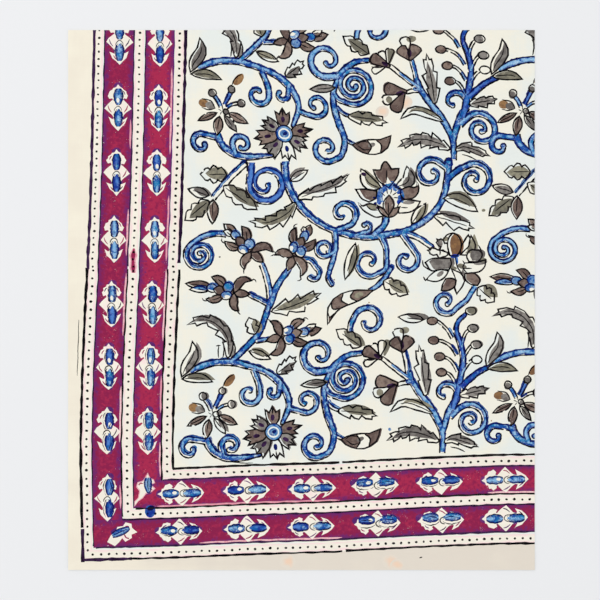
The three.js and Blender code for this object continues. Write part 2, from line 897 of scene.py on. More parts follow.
@dataclass(frozen=True)
class Cut:
    """A petal drawn by its own edge: smooth stretches that meet in corners.

    One with neither dye nor ink leaves the cloth bare.
    """

    edges: tuple[tuple[Point, ...], ...]
    dye: Dye | None = None
    slip: Point = (0.0, 0.0)
    inked: bool = True

    def outline(self) -> np.ndarray:
        """Joins the stretches.

        Returns:
            The closed outline, anticlockwise.
        """
        closed = np.vstack([smooth_path(edge, CURVE_STEP)[:-1] for edge in self.edges])
        x, y = closed[:, 0], closed[:, 1]
        area = (x * np.roll(y, -1) - y * np.roll(x, -1)).sum()
        return closed if area > 0 else closed[::-1]

    def print_on(self, press: Press) -> None:
        """Prints the petal.

        Args:
            press: The press.
        """
        order = press.next_order()
        outline = self.outline()
        if self.dye is not None or not self.inked:
            press.colour(outline, self.dye, order, press.slip_of(self.dye, self.slip))
        if self.inked:
            outer = grown(outline, OUTLINE / 2)
            press.hide_vines(outer)
            press.ink(outer, order)
            press.clear(grown(outline, -OUTLINE / 2), order + 1)


@dataclass(frozen=True)
class Line:
    """A single ink line of the block."""

    points: tuple[Point, ...]
    width: float = VEIN

    def print_on(self, press: Press) -> None:
        """Prints the line."""
        press.stroke(self.points, self.width)


@dataclass(frozen=True)
class Wash:
    """A touch of one dye without an outline, or a bare spot."""

    centre: Point
    radius: float
    height: float
    dye: Dye | None
    turn: float = 0.0

    def print_on(self, press: Press) -> None:
        """Prints the touch of dye.

        Args:
            press: The press.
        """
        outline = ring(self.centre, self.radius, self.height, self.turn)
        press.colour(outline, self.dye, press.next_order(), (0.0, 0.0))
        if self.dye is None:
            press.hide_vines(outline)


@dataclass(frozen=True)
class Stain:
    """A round rust stain that fades out towards its edge."""

    centre: Point
    radius: float

    def print_on(self, press: Press) -> None:
        """Lays the stain in rings, so that it can fade.

        Args:
            press: The press.
        """
        spine = np.array([self.centre, (self.centre[0] + 1.0, self.centre[1])])
        halves = np.full(2, self.radius)
        for share in (1.0, 0.7, 0.4):
            outline = ring(self.centre, self.radius * share + 0.5, self.radius * share)
            press.colour(outline, Dye.STAIN, Layer.BAND - 0.8, spine=spine, halves=halves, rim=self.radius)


# Scrolls and stems of the block, from the foot of each to its tip.
TENDRILS = (
    Tendril(((25, 20.5), (16, 21.8)), (2.0, 2.0, 1.5), Curl((13, 15), 0.78, 2.2)),
    Tendril(((25, 23), (27, 17), (32, 11.5), (40, 8.2), (50, 8), (66, 10.5)), (2.5, 2.4, 2.2, 1.0)),
    Tendril(((38.2, 8.5), (36.4, 14)), (1.8, 2.0, 1.4), Curl((42.6, 16.8), -0.85, 2.6)),
    Tendril(((12, 72.5), (22, 77.2), (32, 79.7), (44, 79.9), (56, 77.3), (69, 72.8), (79, 65.5),
        (85, 56.5), (86.8, 47), (82, 34)), (1.6, 2.5, 2.2, 2.4, 2.2, 2.2, 2.6, 2.2, 1.9, 1.4)),
    Tendril(((60, 74), (64, 64), (65, 57)), (1.9, 2.0, 1.8, 1.4), Curl((57.2, 56), -0.8, 3.0)),
    Tendril(((80.2, 65), (79.5, 58)), (1.9, 1.7, 1.4), Curl((74.8, 57.5), -0.6, 2.4)),
    Tendril(((86.5, 45.5), (97.5, 42.2)), (1.8, 1.8, 1.6, 1.3), Curl((99.8, 50.3), 0.92, 2.2)),
    Tendril(((118.5, 74), (113.6, 62), (113.4, 51), (116.5, 38), (120.5, 26), (118, 14), (112, 9.6)),
        (1.7, 2.0, 2.3, 2.0, 1.9, 1.8, 1.4), Curl((106.8, 17.4), -1.0, 1.6, 2.2)),
    Tendril(((113.5, 61), (116.5, 56.3), (120.5, 54.6)), (1.6, 1.8, 1.7, 1.4),
        Curl((129, 67), 2.3, 1.8, 1.0)),
    Tendril(((119, 74), (113, 73.2)), (2.7, 2.4, 1.9, 1.3), Curl((109, 84.5), -1.09, 1.2, 2.5)),
    Tendril(((117, 73), (123, 79.5), (131, 85), (141, 86.8)), (2.2, 2.1, 1.5)),
    Tendril(((120.5, 26), (128, 21.8)), (1.2, 1.0)),
    Tendril(((115.5, 50.5), (119, 46.5), (125, 43.6)), (1.2, 1.1)),
    Tendril(((202, 12), (202, 26), (198.5, 36), (192.5, 46.5), (185, 56.5), (179.5, 65), (177, 72)),
        (1.9, 2.0, 2.2, 2.6, 2.4, 2.2, 2.0), slip=(-0.6, 0.0)),
    Tendril(((202, 27), (205.5, 39), (209.7, 48)), (2.0, 2.4, 2.0, 1.2),
        Curl((204.4, 55.5), 0.78, 2.5, 2.5)),
    Tendril(((207.5, 38.5), (214, 45)), (2.2, 2.0, 1.7, 1.2), Curl((223, 36), -1.57, 1.5, 1.2)),
    Tendril(((209.6, 44), (213, 57), (216.3, 72), (217.5, 83), (215.3, 94), (212.3, 103), (214, 110.5),
        (219.5, 116)), (2.2, 2.2, 1.8, 1.4), dye=Dye.DEEP),
    Tendril(((215, 60), (221, 66), (229, 72.5), (239, 77.5)), (2.2, 2.0, 1.6), dye=Dye.DEEP),
    Tendril(((147, 133.5), (152, 136.5), (156, 140), (160, 145), (163, 151)), (1.4, 1.9, 1.8)),
    Tendril(((132.5, 101.5), (133.2, 108), (136, 114.5)), (1.6, 2.0, 1.8, 1.2),
        Curl((146.3, 110.3), -0.9, 3.6, 1.5)),
    Tendril(((226, 136), (220, 126.5), (213, 121)), (1.7, 1.7, 1.6, 1.2),
        Curl((204.4, 125), -1.05, 2.0, 1.4)),
    Tendril(((44, 80.5), (56, 92.5), (64.5, 102), (69.5, 115), (73, 127)), (1.9, 2.0, 2.1, 2.0, 2.0)),
    Tendril(((62, 96), (75, 97.5)), (1.5, 1.5)),
    Tendril(((70.5, 124), (57, 131)), (1.6, 1.6)),
    Tendril(((66.5, 153.5), (69.5, 146), (72.3, 134), (72.8, 122)), (1.8, 2.2, 2.2, 2.0), fullness=0.7),
    Tendril(((72.6, 122), (78, 137), (87, 150)), (2.0, 2.2, 2.0)),
    Tendril(((94, 157.5), (103, 156), (107.5, 150.5)), (1.8, 1.7, 1.4), Curl((104.6, 146), -0.5, 3.4)),
    Tendril(((40, 175.8), (31, 176.4), (22, 174), (14.5, 169.3)),
        (1.8, 2.0, 1.7, 1.5, 1.5, 1.7, 1.6, 1.2), Curl((19.8, 160.2), 1.9, 1.6, 1.5)),
    Tendril(((30, 203), (42, 217.5), (54, 229)), (2.0, 2.3, 2.3), slip=(-1.4, 0.8), fullness=0.6),
    Tendril(((58.5, 229), (57.7, 218)), (2.4, 2.3, 2.2, 1.6, 1.2),
        Curl((69.5, 213.3), 1.5, 1.8, 2.8), dye=Dye.DEEP),
    Tendril(((83.5, 230), (84.8, 217), (91, 202.5), (101, 190.5), (114, 181.5), (128, 176.5),
        (145, 173.8), (160, 175.5), (176, 179), (191, 188), (201.5, 201), (205.5, 217), (206.5, 231)),
        (2.4, 2.4, 2.6, 2.3, 1.9, 2.4, 2.1, 2.4, 2.1, 2.2, 2.1, 2.2, 2.4)),
    Tendril(((122, 178.5), (129.5, 181.2)), (2.0, 2.0, 1.8, 1.2), Curl((127.5, 190.5), 0.9, 2.2, 2.8)),
    Tendril(((136, 175), (143, 177)), (1.6, 1.5, 1.2), Curl((144, 181.6), 0.6, 1.6)),
    Tendril(((121, 178), (121.8, 170), (120.8, 160), (117.5, 149), (116.3, 143), (119, 138)),
        (2.0, 1.8, 1.5)),
    Tendril(((120.5, 162.5), (115.5, 159.8)), (1.6, 1.6, 1.4), Curl((113, 164.6), -0.9, 4.2, 4.0)),
    Tendril(((156, 174), (159.5, 166), (160, 158), (159.5, 150), (154, 146.3)), (1.9, 1.7, 1.6, 1.2),
        Curl((147.5, 154), -0.89, 1.5, 2.8)),
    Tendril(((171.5, 176), (177, 168.5), (181, 163)), (1.8, 1.7, 1.3),
        Curl((175, 156.8), -0.87, 2.4, 2.6)),
    Tendril(((173, 177), (181, 174.8), (188, 171), (194, 166.5)), (2.0, 2.0, 1.8), fullness=0.6),
    Tendril(((206, 225), (200.5, 229)), (2.0, 1.8, 1.3), Curl((193.5, 221.5), 1.0, 2.4, 2.2)),
    Tendril(((206, 217.5), (213, 223.5), (219, 226.5)), (2.2, 2.1, 1.7, 1.3),
        Curl((226, 216.6), -1.35, 1.4, 1.9)),
    Tendril(((160, 190), (158, 182.5), (150, 175)), (2.2, 2.2)),
)

# Leaves of the block. Each spine runs from the leaf's foot to its tip.
LEAVES = (
    Blade(((6.5, 69), (9.5, 76), (15.5, 86), (14.5, 95.5)), 4.4, dye=Dye.TAUPE,
        slip=(0.7, 0.2), fill=0.8),
    Blade(((7, 67.5), (15, 68.3), (22, 68), (29.5, 65.3)), 3.6, dye=Dye.OLIVE, slip=(0.4, 0.4), fill=0.8),
    Blade(((78, 72), (85, 77), (92, 84)), 4.5, Form.TOOTHED, Dye.TAUPE, (-1.6, -2.6), teeth=3, fill=0.5),
    Blade(((115, 65), (96, 62.8)), 3.1, dye=Dye.TAUPE, fill=0.8),
    Blade(((124, 43.5), (138, 42.6), (153, 39.7)), 5.0, Form.TOOTHED, Dye.OLIVE,
        (-1.4, 1.2), teeth=3, fill=0.7),
    Blade(((126, 22), (133, 21), (141, 20.8), (149, 23), (155.3, 29.8)), 5.7, Form.LENS, Dye.MAUVE,
        fill=1.1, gaps=((0.36, 0.6),)),
    Wash((140.6, 22.4), 3.0, 1.7, Dye.TAUPE, 25),
    Line(((129, 22), (133, 24.6), (138, 24.4)), 1.0),
    Line(((130, 21.4), (134.4, 18.6), (139, 19)), 1.0),
    Blade(((195, 41.5), (183, 47.5), (172, 49.5), (163.2, 43)), 3.4, Form.LENS, Dye.OLIVE,
        (2.0, 1.0), fill=0.3),
    Blade(((199.5, 20.5), (188, 26), (174, 27.6), (160.3, 21.2)), 4.9, Form.TOOTHED, Dye.TAUPE,
        (-0.6, -0.2), teeth=5, fill=0.7),
    Blade(((203.5, 20), (210, 22.6), (218, 20.6), (229, 16.5)), 3.6, Form.TOOTHED, Dye.TAUPE,
        (-1.6, 0.0), teeth=2),
    Line(((208, 16.8), (214, 15.2), (219, 13)), 1.0),
    Blade(((215, 55), (236.5, 60.5)), 4.0, Form.TOOTHED, Dye.TAUPE, teeth=3),
    Blade(((189.5, 55), (187.5, 73), (184.6, 93)), 4.9, Form.TOOTHED, Dye.TAUPE,
        (-0.2, -3.4), teeth=3, fill=0.6),
    Blade(((188, 112), (169, 114)), 3.3, dye=Dye.TAUPE, slip=(3.0, 0.5)),
    Blade(((150, 134), (142, 131), (134, 129), (126, 126), (120, 120.5), (116, 108.5)), 4.9, Form.LENS,
        Dye.MAUVE, fill=1.0, gaps=((0.3, 0.46), (0.66, 0.8))),
    Wash((139.5, 130.6), 3.6, 2.0, Dye.OLIVE, 20),
    Blade(((158, 141), (176, 131)), 5.5, Form.LOBED, Dye.OLIVE, teeth=3),
    Blade(((141, 92), (122.5, 104.5)), 5.2, Form.LOBED, Dye.OLIVE, (2.0, -1.0), teeth=3),
    Blade(((229, 136), (241, 125.5)), 5.5, Form.LOBED, Dye.OLIVE, (1.0, 2.0), teeth=3),
    Blade(((41, 83), (42, 92), (39.5, 101), (32, 109), (22, 112), (10.5, 108)), 4.6, Form.TOOTHED,
        Dye.TAUPE, (-1.4, 0.6), teeth=4, fill=0.75),
    Line(((37.5, 83.3), (38.2, 90), (37.4, 97)), 1.1),
    Line(((46.3, 84.5), (46.6, 91), (44.6, 97)), 1.1),
    Wash((43.6, 89), 2.6, 6.0, Dye.TAUPE, 8),
    Blade(((61.5, 101), (57, 113.5)), 4.8, Form.LOBED, Dye.OLIVE, (1.0, -1.0), teeth=2),
    Blade(((57, 88.5), (73, 82.5)), 3.2, dye=Dye.OLIVE, slip=(-1.5, 1.5)),
    Blade(((74, 118), (92, 123), (111, 132)), 5.4, Form.TOOTHED, Dye.OLIVE,
        (-1.6, 0.4), teeth=3, fill=0.6),
    Blade(((40, 221), (20.5, 221)), 6.0, Form.LOBED, Dye.OLIVE, teeth=3),
    Blade(((38, 212), (63, 194.5)), 5.6, Form.LOBED, Dye.OLIVE, teeth=3),
    Blade(((88, 216), (101, 224)), 3.2, dye=Dye.TAUPE, slip=(-4.0, 2.0)),
    Blade(((94, 203), (104, 207), (114, 210), (124, 214.5), (132, 221)), 4.6, Form.TOOTHED, Dye.TAUPE,
        (-1.6, 1.4), teeth=4, fill=0.6),
    Blade(((92, 200), (86, 192), (77, 187), (68, 184.5), (57, 186)), 5.2, Form.TOOTHED, Dye.OLIVE,
        (-1.4, 0.8), teeth=4, fill=0.7),
    Blade(((137, 169), (129, 142)), 3.8, dye=Dye.OLIVE),
    Blade(((179, 184), (189.5, 199)), 3.5, dye=Dye.OLIVE),
    Blade(((203, 203), (215, 201.5), (228.5, 193)), 5.0, Form.LENS, Dye.OLIVE, (-2.0, 2.0)),
    Blade(((196, 190), (226, 180.5)), 4.6, Form.TOOTHED, Dye.TAUPE, (-2.4, 3.4), teeth=3, fill=0.4),
    Blade(((27, 205), (11.5, 210)), 3.8, dye=Dye.TAUPE),
    Blade(((27, 201), (9, 186.5)), 5.6, Form.LOBED, Dye.OLIVE, teeth=3),
    Blade(((30, 202), (29.5, 184)), 4.2, dye=Dye.MAUVE),
)

# The star-shaped flower near the lower left of the block.
STAR_FLOWER = (
    Tendril(((28.5, 44), (26.5, 48.5), (24, 52)), (1.2, 1.3)),
    Tendril(((31, 46), (34, 51.5), (36, 56)), (1.1, 1.4), fullness=1.5, dye=Dye.DEEP),
    Tendril(((32.5, 44), (37, 47), (42, 48.5)), (0.9, 1.1), reach=0.5),
    Line(((35.5, 60), (37, 62)), 1.0),
    Blade(((25, 39.5), (11, 32.5)), 2.5, Form.LENS, Dye.MAUVE),
    Blade(((27, 37), (24.5, 22.5)), 3.4, Form.LENS, Dye.MAUVE),
    Blade(((31, 38), (39.5, 26.5)), 2.7, Form.LENS, Dye.TAUPE),
    Blade(((34, 40), (48, 33.5)), 3.2, Form.LENS, Dye.MAUVE),
    Wash((15.6, 46), 4.0, 3.2, Dye.OCHRE, -10),
    Wash((20.4, 44.6), 3.6, 2.9, Dye.TAUPE, -20),
    Line(((24, 43), (21, 48.2), (14.5, 49.6)), 1.1),
    Line(((24, 43), (19, 41.4), (14, 42.6)), 0.9),
    Wash((42.5, 66.5), 5.6, 3.0, Dye.OCHRE, 50),
    Line(((37.5, 61.5), (40.2, 67.5), (45.5, 71)), 1.1),
    Bead((22.5, 54.5), 2.9, Dye.TAUPE, slip=(-0.9, -0.6)),
    Bead((37, 58.5), 2.7, Dye.TAUPE, slip=(-0.9, -0.6)),
    Bead((44, 48.5), 2.9, Dye.TAUPE, slip=(-0.9, -0.6)),
    Wash((30, 41), 4.6, 4.4, None),
    Line(((26.5, 42.5), (29, 41)), 0.8),
    Line(((27.5, 38.5), (29, 40.5)), 0.8),
    Line(((31.5, 38.5), (30.5, 40.5)), 0.8),
    Line(((29.5, 45), (30, 42)), 0.8),
    Bead((32, 41), 2.1, Dye.TAUPE),
)

# The round flower beside it: seven toothed petals around a blue ring. Each petal has the direction of
# its middle tooth, the angle from there to its side teeth, the reach of its three teeth and its dye.
DAISY_CENTRE = (75.4, 27.7)
DAISY_PETALS = (
    (93, 18, (17.2, 19.4, 17.8), Dye.MAUVE),
    (13, 17, (18.0, 22.0, 17.8), Dye.MAUVE),
    (-31, 17, (17.6, 19.4, 17.0), Dye.TAUPE),
    (-82, 15, (19.0, 20.4, 20.4), None),
    (-128, 16, (20.8, 20.4, 21.4), Dye.TAUPE),
    (-167, 15, (21.0, 23.2, 21.4), Dye.MAUVE),
    (150, 15, (17.2, 18.8, 17.8), Dye.TAUPE),
)

# Points of a petal's side: angle from its middle line, and distance from the flower's middle.
DAISY_SIDE = ((17, 5.4), (25, 10.5))


def daisy() -> list[Cut | Bead | Wash | Line]:
    """Draws the round flower.

    Returns:
        Its petals and its ringed middle.
    """
    at = partial(polar, DAISY_CENTRE)
    parts: list[Cut | Bead | Wash | Line] = []
    for degrees, spread, (right, middle, left), dye in DAISY_PETALS:
        teeth = [at(degrees - spread, right), at(degrees, middle), at(degrees + spread, left)]
        notches = [at(degrees + side * spread * 0.55, min(right, left) - 2.4) for side in (-1, 1)]
        sides = []
        for side in (-1, 1):
            sides.append([at(degrees + side * turn, away) for turn, away in DAISY_SIDE])
        edges = (
            (*sides[0], teeth[0]),
            (teeth[0], notches[0]),
            (notches[0], teeth[1]),
            (teeth[1], notches[1]),
            (notches[1], teeth[2]),
            (teeth[2], *sides[1][::-1]),
            (sides[1][0], sides[0][0]),
        )
        parts.append(Cut(edges, dye, slip=(-1.2, -0.4) if dye is Dye.TAUPE else (0.0, 0.0)))
        parts.append(Line((teeth[1], at(degrees, middle * 0.72)), 1.3))
        spot = at(degrees, middle * 0.56)
        parts.append(Wash(spot, 2.6, 1.5, Dye.PLUM if dye else Dye.NAVY, degrees))
    parts.append(Bead(DAISY_CENTRE, 6.3, Dye.INDIGO, slip=(-0.6, -0.9)))
    parts.append(Wash(DAISY_CENTRE, 4.5, 4.3, None))
    parts.append(Wash(DAISY_CENTRE, 3.5, 3.1, Dye.INDIGO))
    parts.append(Wash((DAISY_CENTRE[0] + 0.5, DAISY_CENTRE[1] + 0.2), 2.0, 1.4, Dye.NAVY, 30))
    return parts


@dataclass(frozen=True)
class BudFlower:
    """A long opening bud: three-lobed calyx, two blue globes, side petals and a pointed tip."""

    foot: Point
    tip: Point
    lip: Dye | None = None

    def print_on(self, press: Press) -> None:
        """Prints the bud from back to front."""
        for part in self.parts():
            part.print_on(press)

    def parts(self) -> list[Blade | Bead | Wash | Line]:
        """Draws the bud along its axis, which runs from the middle of the calyx.

        Returns:
            Its parts from back to front.
        """
        foot, tip = np.array(self.foot, float), np.array(self.tip, float)
        along = tip - foot
        length = float(np.linalg.norm(along))
        turn = math.degrees(math.atan2(along[1], along[0]))

        def at(ahead: float, side: float) -> Point:
            """Gives the point at a distance ahead of the calyx and to the left."""
            spot = foot + (along * ahead + np.array([-along[1], along[0]]) * side) / length
            return float(spot[0]), float(spot[1])

        petal = partial(Blade, dye=Dye.MAUVE, fill=1.1)
        return [
            Blade((at(18, -2), at(length, -1)), 3.3, dye=Dye.MAUVE),
            Blade((at(20, 1.5), at(length - 3.5, 3)), 2.3, dye=self.lip, bend=-0.8),
            Bead(at(18, -0.8), 4.1, Dye.INDIGO, height=3.2, turn=turn),
            petal((at(8, -3), at(14, -8), at(19.5, -9)), 3.2),
            petal((at(9, 3.5), at(15, 7.4), at(21, 8)), 2.9),
            petal((at(8, 0), at(17, 0)), 3.4, vein=False),
            Bead(at(6.2, -3.2), 3.9, Dye.INDIGO, turn=turn),
            Bead(at(6.8, 3), 4.2, Dye.INDIGO, height=3.1, turn=turn + 20),
            Wash(at(5.6, 4), 2.2, 1.5, None, turn),
            petal((at(2, 0), at(-10.5, -0.5)), 3.0, vein=False),
            petal((at(1, 0), at(-1, -7.5), at(-5, -11), at(-10, -11)), 3.1, vein=False),
            petal((at(1, 0), at(0.5, 7), at(-0.6, 10.5), at(-4, 13)), 3.1, vein=False),
            Wash(at(0.5, 0), 3.0, 3.0, Dye.MAUVE),
            Line((at(-9, -10.5), at(-12.5, -12.5), at(-14, -10.5)), 1.0),
            Line((at(19, 8.5), at(22.5, 9.5), at(24, 8)), 1.0),
            Line((at(-3.5, 13.5), at(-6, 15.5)), 1.0),
        ]


BUD_FLOWERS = (
    BudFlower((47, 132), (9.5, 138), Dye.INDIGO),
    BudFlower((80, 99), (111, 106.5)),
    BudFlower((59.5, 162), (37.5, 183)),
    BudFlower((90, 158.5), (102, 183.5)),
)

# Stalks and berries of the upright plant.
BERRY_STALKS = (
    ((209.5, 98), (206, 104), (201, 109), (198, 111)),
    ((213, 85), (209, 91.5), (203, 95.5), (199, 96.5)),
    ((213.5, 73), (210, 79.5), (206, 83), (203, 84)),
    ((212.5, 61), (210.5, 67), (207.5, 71), (205, 72.3)),
    ((216, 90), (217.5, 97), (220, 102.5), (222, 104)),
    ((217, 80), (219.5, 86.5), (222.5, 91), (224.5, 92.8)),
    ((215.5, 69), (218.5, 75), (222, 79.5), (224.5, 81.5)),
)
BERRIES = (
    (194.5, 111, Dye.MAUVE),
    (195.5, 96.5, Dye.MAUVE),
    (200, 84.2, Dye.MAUVE),
    (201.5, 72.5, Dye.MAUVE),
    (223.5, 118.5, Dye.OLIVE),
    (225.0, 105.5, Dye.TAUPE),
    (227.5, 93.2, Dye.TAUPE),
    (228, 82, None),
)


def berry_plant() -> list[Tendril | Bead]:
    """Draws the berries of the upright plant on their arching stalks.

    Returns:
        Stalks and berries.
    """
    parts: list[Tendril | Bead] = [Tendril(stalk, (1.1, 0.9), reach=0.45) for stalk in BERRY_STALKS]
    for x, y, dye in BERRIES:
        slip = (-0.7, -0.2) if dye is Dye.MAUVE else (-1.4, -0.2)
        parts.append(Bead((x, y), 4.0, dye, height=3.0, slip=slip))
    return parts


# Three small cup flowers left of the upright plant.
CUP_FLOWERS = (
    Tendril(((181, 65), (174, 64.8), (168.5, 63.3)), (1.6, 1.3), reach=0.6),
    Tendril(((176.8, 68), (175.3, 79), (173.2, 88)), (1.7, 1.6), slip=(0.7, -0.4), fullness=0.8),
    Tendril(((178, 67), (169, 73.5), (157, 83)), (1.9, 1.5), slip=(0.3, -0.8), fullness=0.6, reach=0.7),
    Blade(((164, 61.5), (150.4, 56)), 4.0, Form.FAN, None, vein=False),
    Wash((155.2, 57.4), 2.6, 2.8, Dye.OLIVE),
    Blade(((168.6, 63.8), (152, 66)), 4.8, Form.FAN, Dye.MAUVE, (-0.8, 0.0), vein=False, fill=1.2),
    Blade(((166.8, 63.2), (158.4, 48.6)), 4.7, Form.FAN, Dye.MAUVE, vein=False, fill=1.2),
    Wash((163.6, 62.4), 3.6, 1.9, Dye.PLUM, 15),
    Blade(((171.5, 92), (168.2, 105.4)), 4.0, Form.FAN, None, vein=False),
    Wash((173.6, 104), 3.8, 2.6, Dye.OLIVE, 10),
    Blade(((172.4, 88), (164.4, 97.4)), 4.3, Form.FAN, Dye.MAUVE, vein=False, fill=1.2),
    Blade(((172, 88), (177.8, 99)), 4.6, Form.FAN, Dye.MAUVE, (-0.6, 0.0), vein=False, fill=1.2),
    Wash((171.8, 93.4), 1.6, 3.6, Dye.PLUM, 5),
    Blade(((155, 84.4), (157.6, 96.4)), 3.2, Form.FAN, Dye.OLIVE, (1.0, 0.0), vein=False, fill=1.0),
    Blade(((154, 85), (150.2, 94)), 2.8, Form.FAN, None, vein=False),
    Blade(((154, 83.4), (143.4, 78.2)), 2.6, Form.FAN, None, vein=False),
    Line(((153, 82.6), (147.6, 81.4), (143.2, 82.4)), 0.9),
    Blade(((156.6, 82.6), (143, 89.6)), 4.4, Form.FAN, Dye.MAUVE, (-0.6, 0.0), vein=False, fill=1.2),
    Wash((153, 84.6), 2.8, 1.4, Dye.PLUM, -30),
)


def stamens(centre: Point) -> list[Cut | Line | Wash]:
    """Draws the blue crown of the lotus with the pale points that cross it.

    Args:
        centre: Middle of its arc.

    Returns:
        Its parts from back to front.
    """
    at = partial(polar, centre)

    def point(degrees: float, near: float, far: float) -> Cut:
        """Leaves one pale point bare, from its base to its tip."""
        base = (at(degrees - 10, near), at(degrees + 10, near))
        return Cut(((base[0], at(degrees, far)), (at(degrees, far), base[1]), base[::-1]), inked=False)

    outer = tuple(at(degrees, 12.0 if 70 < degrees < 110 else 10.4) for degrees in range(-25, 216, 20))
    inner = tuple(at(degrees, 5.8) for degrees in range(215, -26, -20))
    parts: list[Cut | Line | Wash] = [Cut((outer, inner, (inner[-1], outer[0])), Dye.INDIGO, inked=False)]
    parts += [Wash(at(degrees, 8.4), 2.0, 1.0, Dye.DEEP, degrees + 70) for degrees in range(-15, 200, 42)]
    for degrees in (18, 52, 86, 120, 158):
        parts.append(point(degrees, 3.8, 8.2))
        parts.append(Line((at(degrees - 15, 7.4), at(degrees - 12, 3.6)), 0.9))
    for degrees in (58, 76, 104, 130):
        parts.append(point(degrees, 11.0, 16.4))
    for degrees in (-4, 44, 68, 114, 178, 200):
        parts.append(Wash(at(degrees, 10.8), 1.3, 1.0, Dye.NAVY, degrees))
    return parts


# The large lotus on the main vine.
LOTUS = (
    Blade(((156, 211), (147, 214.5), (141, 225)), 4.6, Form.LENS, Dye.OLIVE),
    Blade(((167, 211.5), (176.5, 216), (175.5, 227)), 4.8, Form.LENS, Dye.TAUPE),
    Cut((((150.3, 224.3), (155.8, 224.3)), ((155.8, 224.3), (157, 228.6), (159.2, 230.7), (161.6, 228.6),
        (163.6, 225)), ((163.6, 225), (169.3, 225.4)), ((169.3, 225.4), (169, 220.5), (166.5, 216.5),
        (162, 211)), ((162, 211), (155, 215.5), (151.8, 220), (150.3, 224.3))), Dye.MAUVE),
    Line(((160.3, 224), (160.4, 217)), 1.1),
    Cut((((137, 209.8), (145, 209.8), (153, 208.3)), ((153, 208.3), (152, 203), (147, 200.2)),
        ((147, 200.2), (141.5, 203), (137, 209.8))), Dye.MAUVE, (1.2, 0.3)),
    Cut((((139, 200), (142, 197.2), (147, 199), (153, 198)), ((153, 198), (157, 194), (157.5, 189.6)),
        ((157.5, 189.6), (152, 189), (146.5, 191.5), (141.5, 195.5), (139, 200)))),
    Wash((149.5, 196.8), 4.6, 2.0, Dye.OLIVE, -15),
    Line(((145, 197.8), (148.5, 194.6), (154, 194)), 1.0),
    Cut((((183, 215.5), (184.6, 211), (183.5, 206.5), (180, 203), (174, 202)), ((174, 202), (171, 205),
        (170.8, 209.3)), ((170.8, 209.3), (176.5, 211.7), (181, 211.2), (183.4, 212.6), (183, 215.5))),
        Dye.MAUVE, (-0.6, -0.4)),
    Cut((((172, 202), (178, 201.8), (185.3, 200.8)), ((185.3, 200.8), (183, 196), (178, 192.8),
        (169.5, 192)), ((169.5, 192), (168.5, 197), (172, 202)))),
    Wash((177, 200), 4.6, 1.6, Dye.TAUPE, 5),
    Line(((171, 196), (176, 196)), 0.9),
    Wash((143, 221), 2.0, 1.5, Dye.PLUM, -20),
    Wash((162, 206), 8.8, 9.0, None),
    *stamens((162, 203)),
    Cut((((153.5, 197.5), (155.5, 192.5), (161, 188.8), (167, 190.5), (170.2, 196.5)), ((170.2, 196.5),
        (164.5, 195.2), (161.5, 193.5)), ((161.5, 193.5), (158, 195), (153.5, 197.5))), Dye.MAUVE),
    Cut((((161.6, 190), (157.8, 196), (158.5, 201), (161.9, 205.4)), ((161.9, 205.4), (165, 201),
        (165.3, 196), (161.6, 190))), Dye.MAUVE),
    Wash((161.6, 198), 2.6, 5.6, Dye.MAUVE),
    Line(((161.6, 191.5), (161.7, 199.5)), 1.0),
    Wash((154, 196), 1.6, 1.4, Dye.PLUM),
    Wash((154.4, 200.4), 1.5, 2.4, Dye.DEEP, 20),
    Wash((169.4, 200.6), 1.5, 2.0, Dye.DEEP, -20),
    Wash((171.6, 203.6), 1.0, 1.6, Dye.NAVY),
)

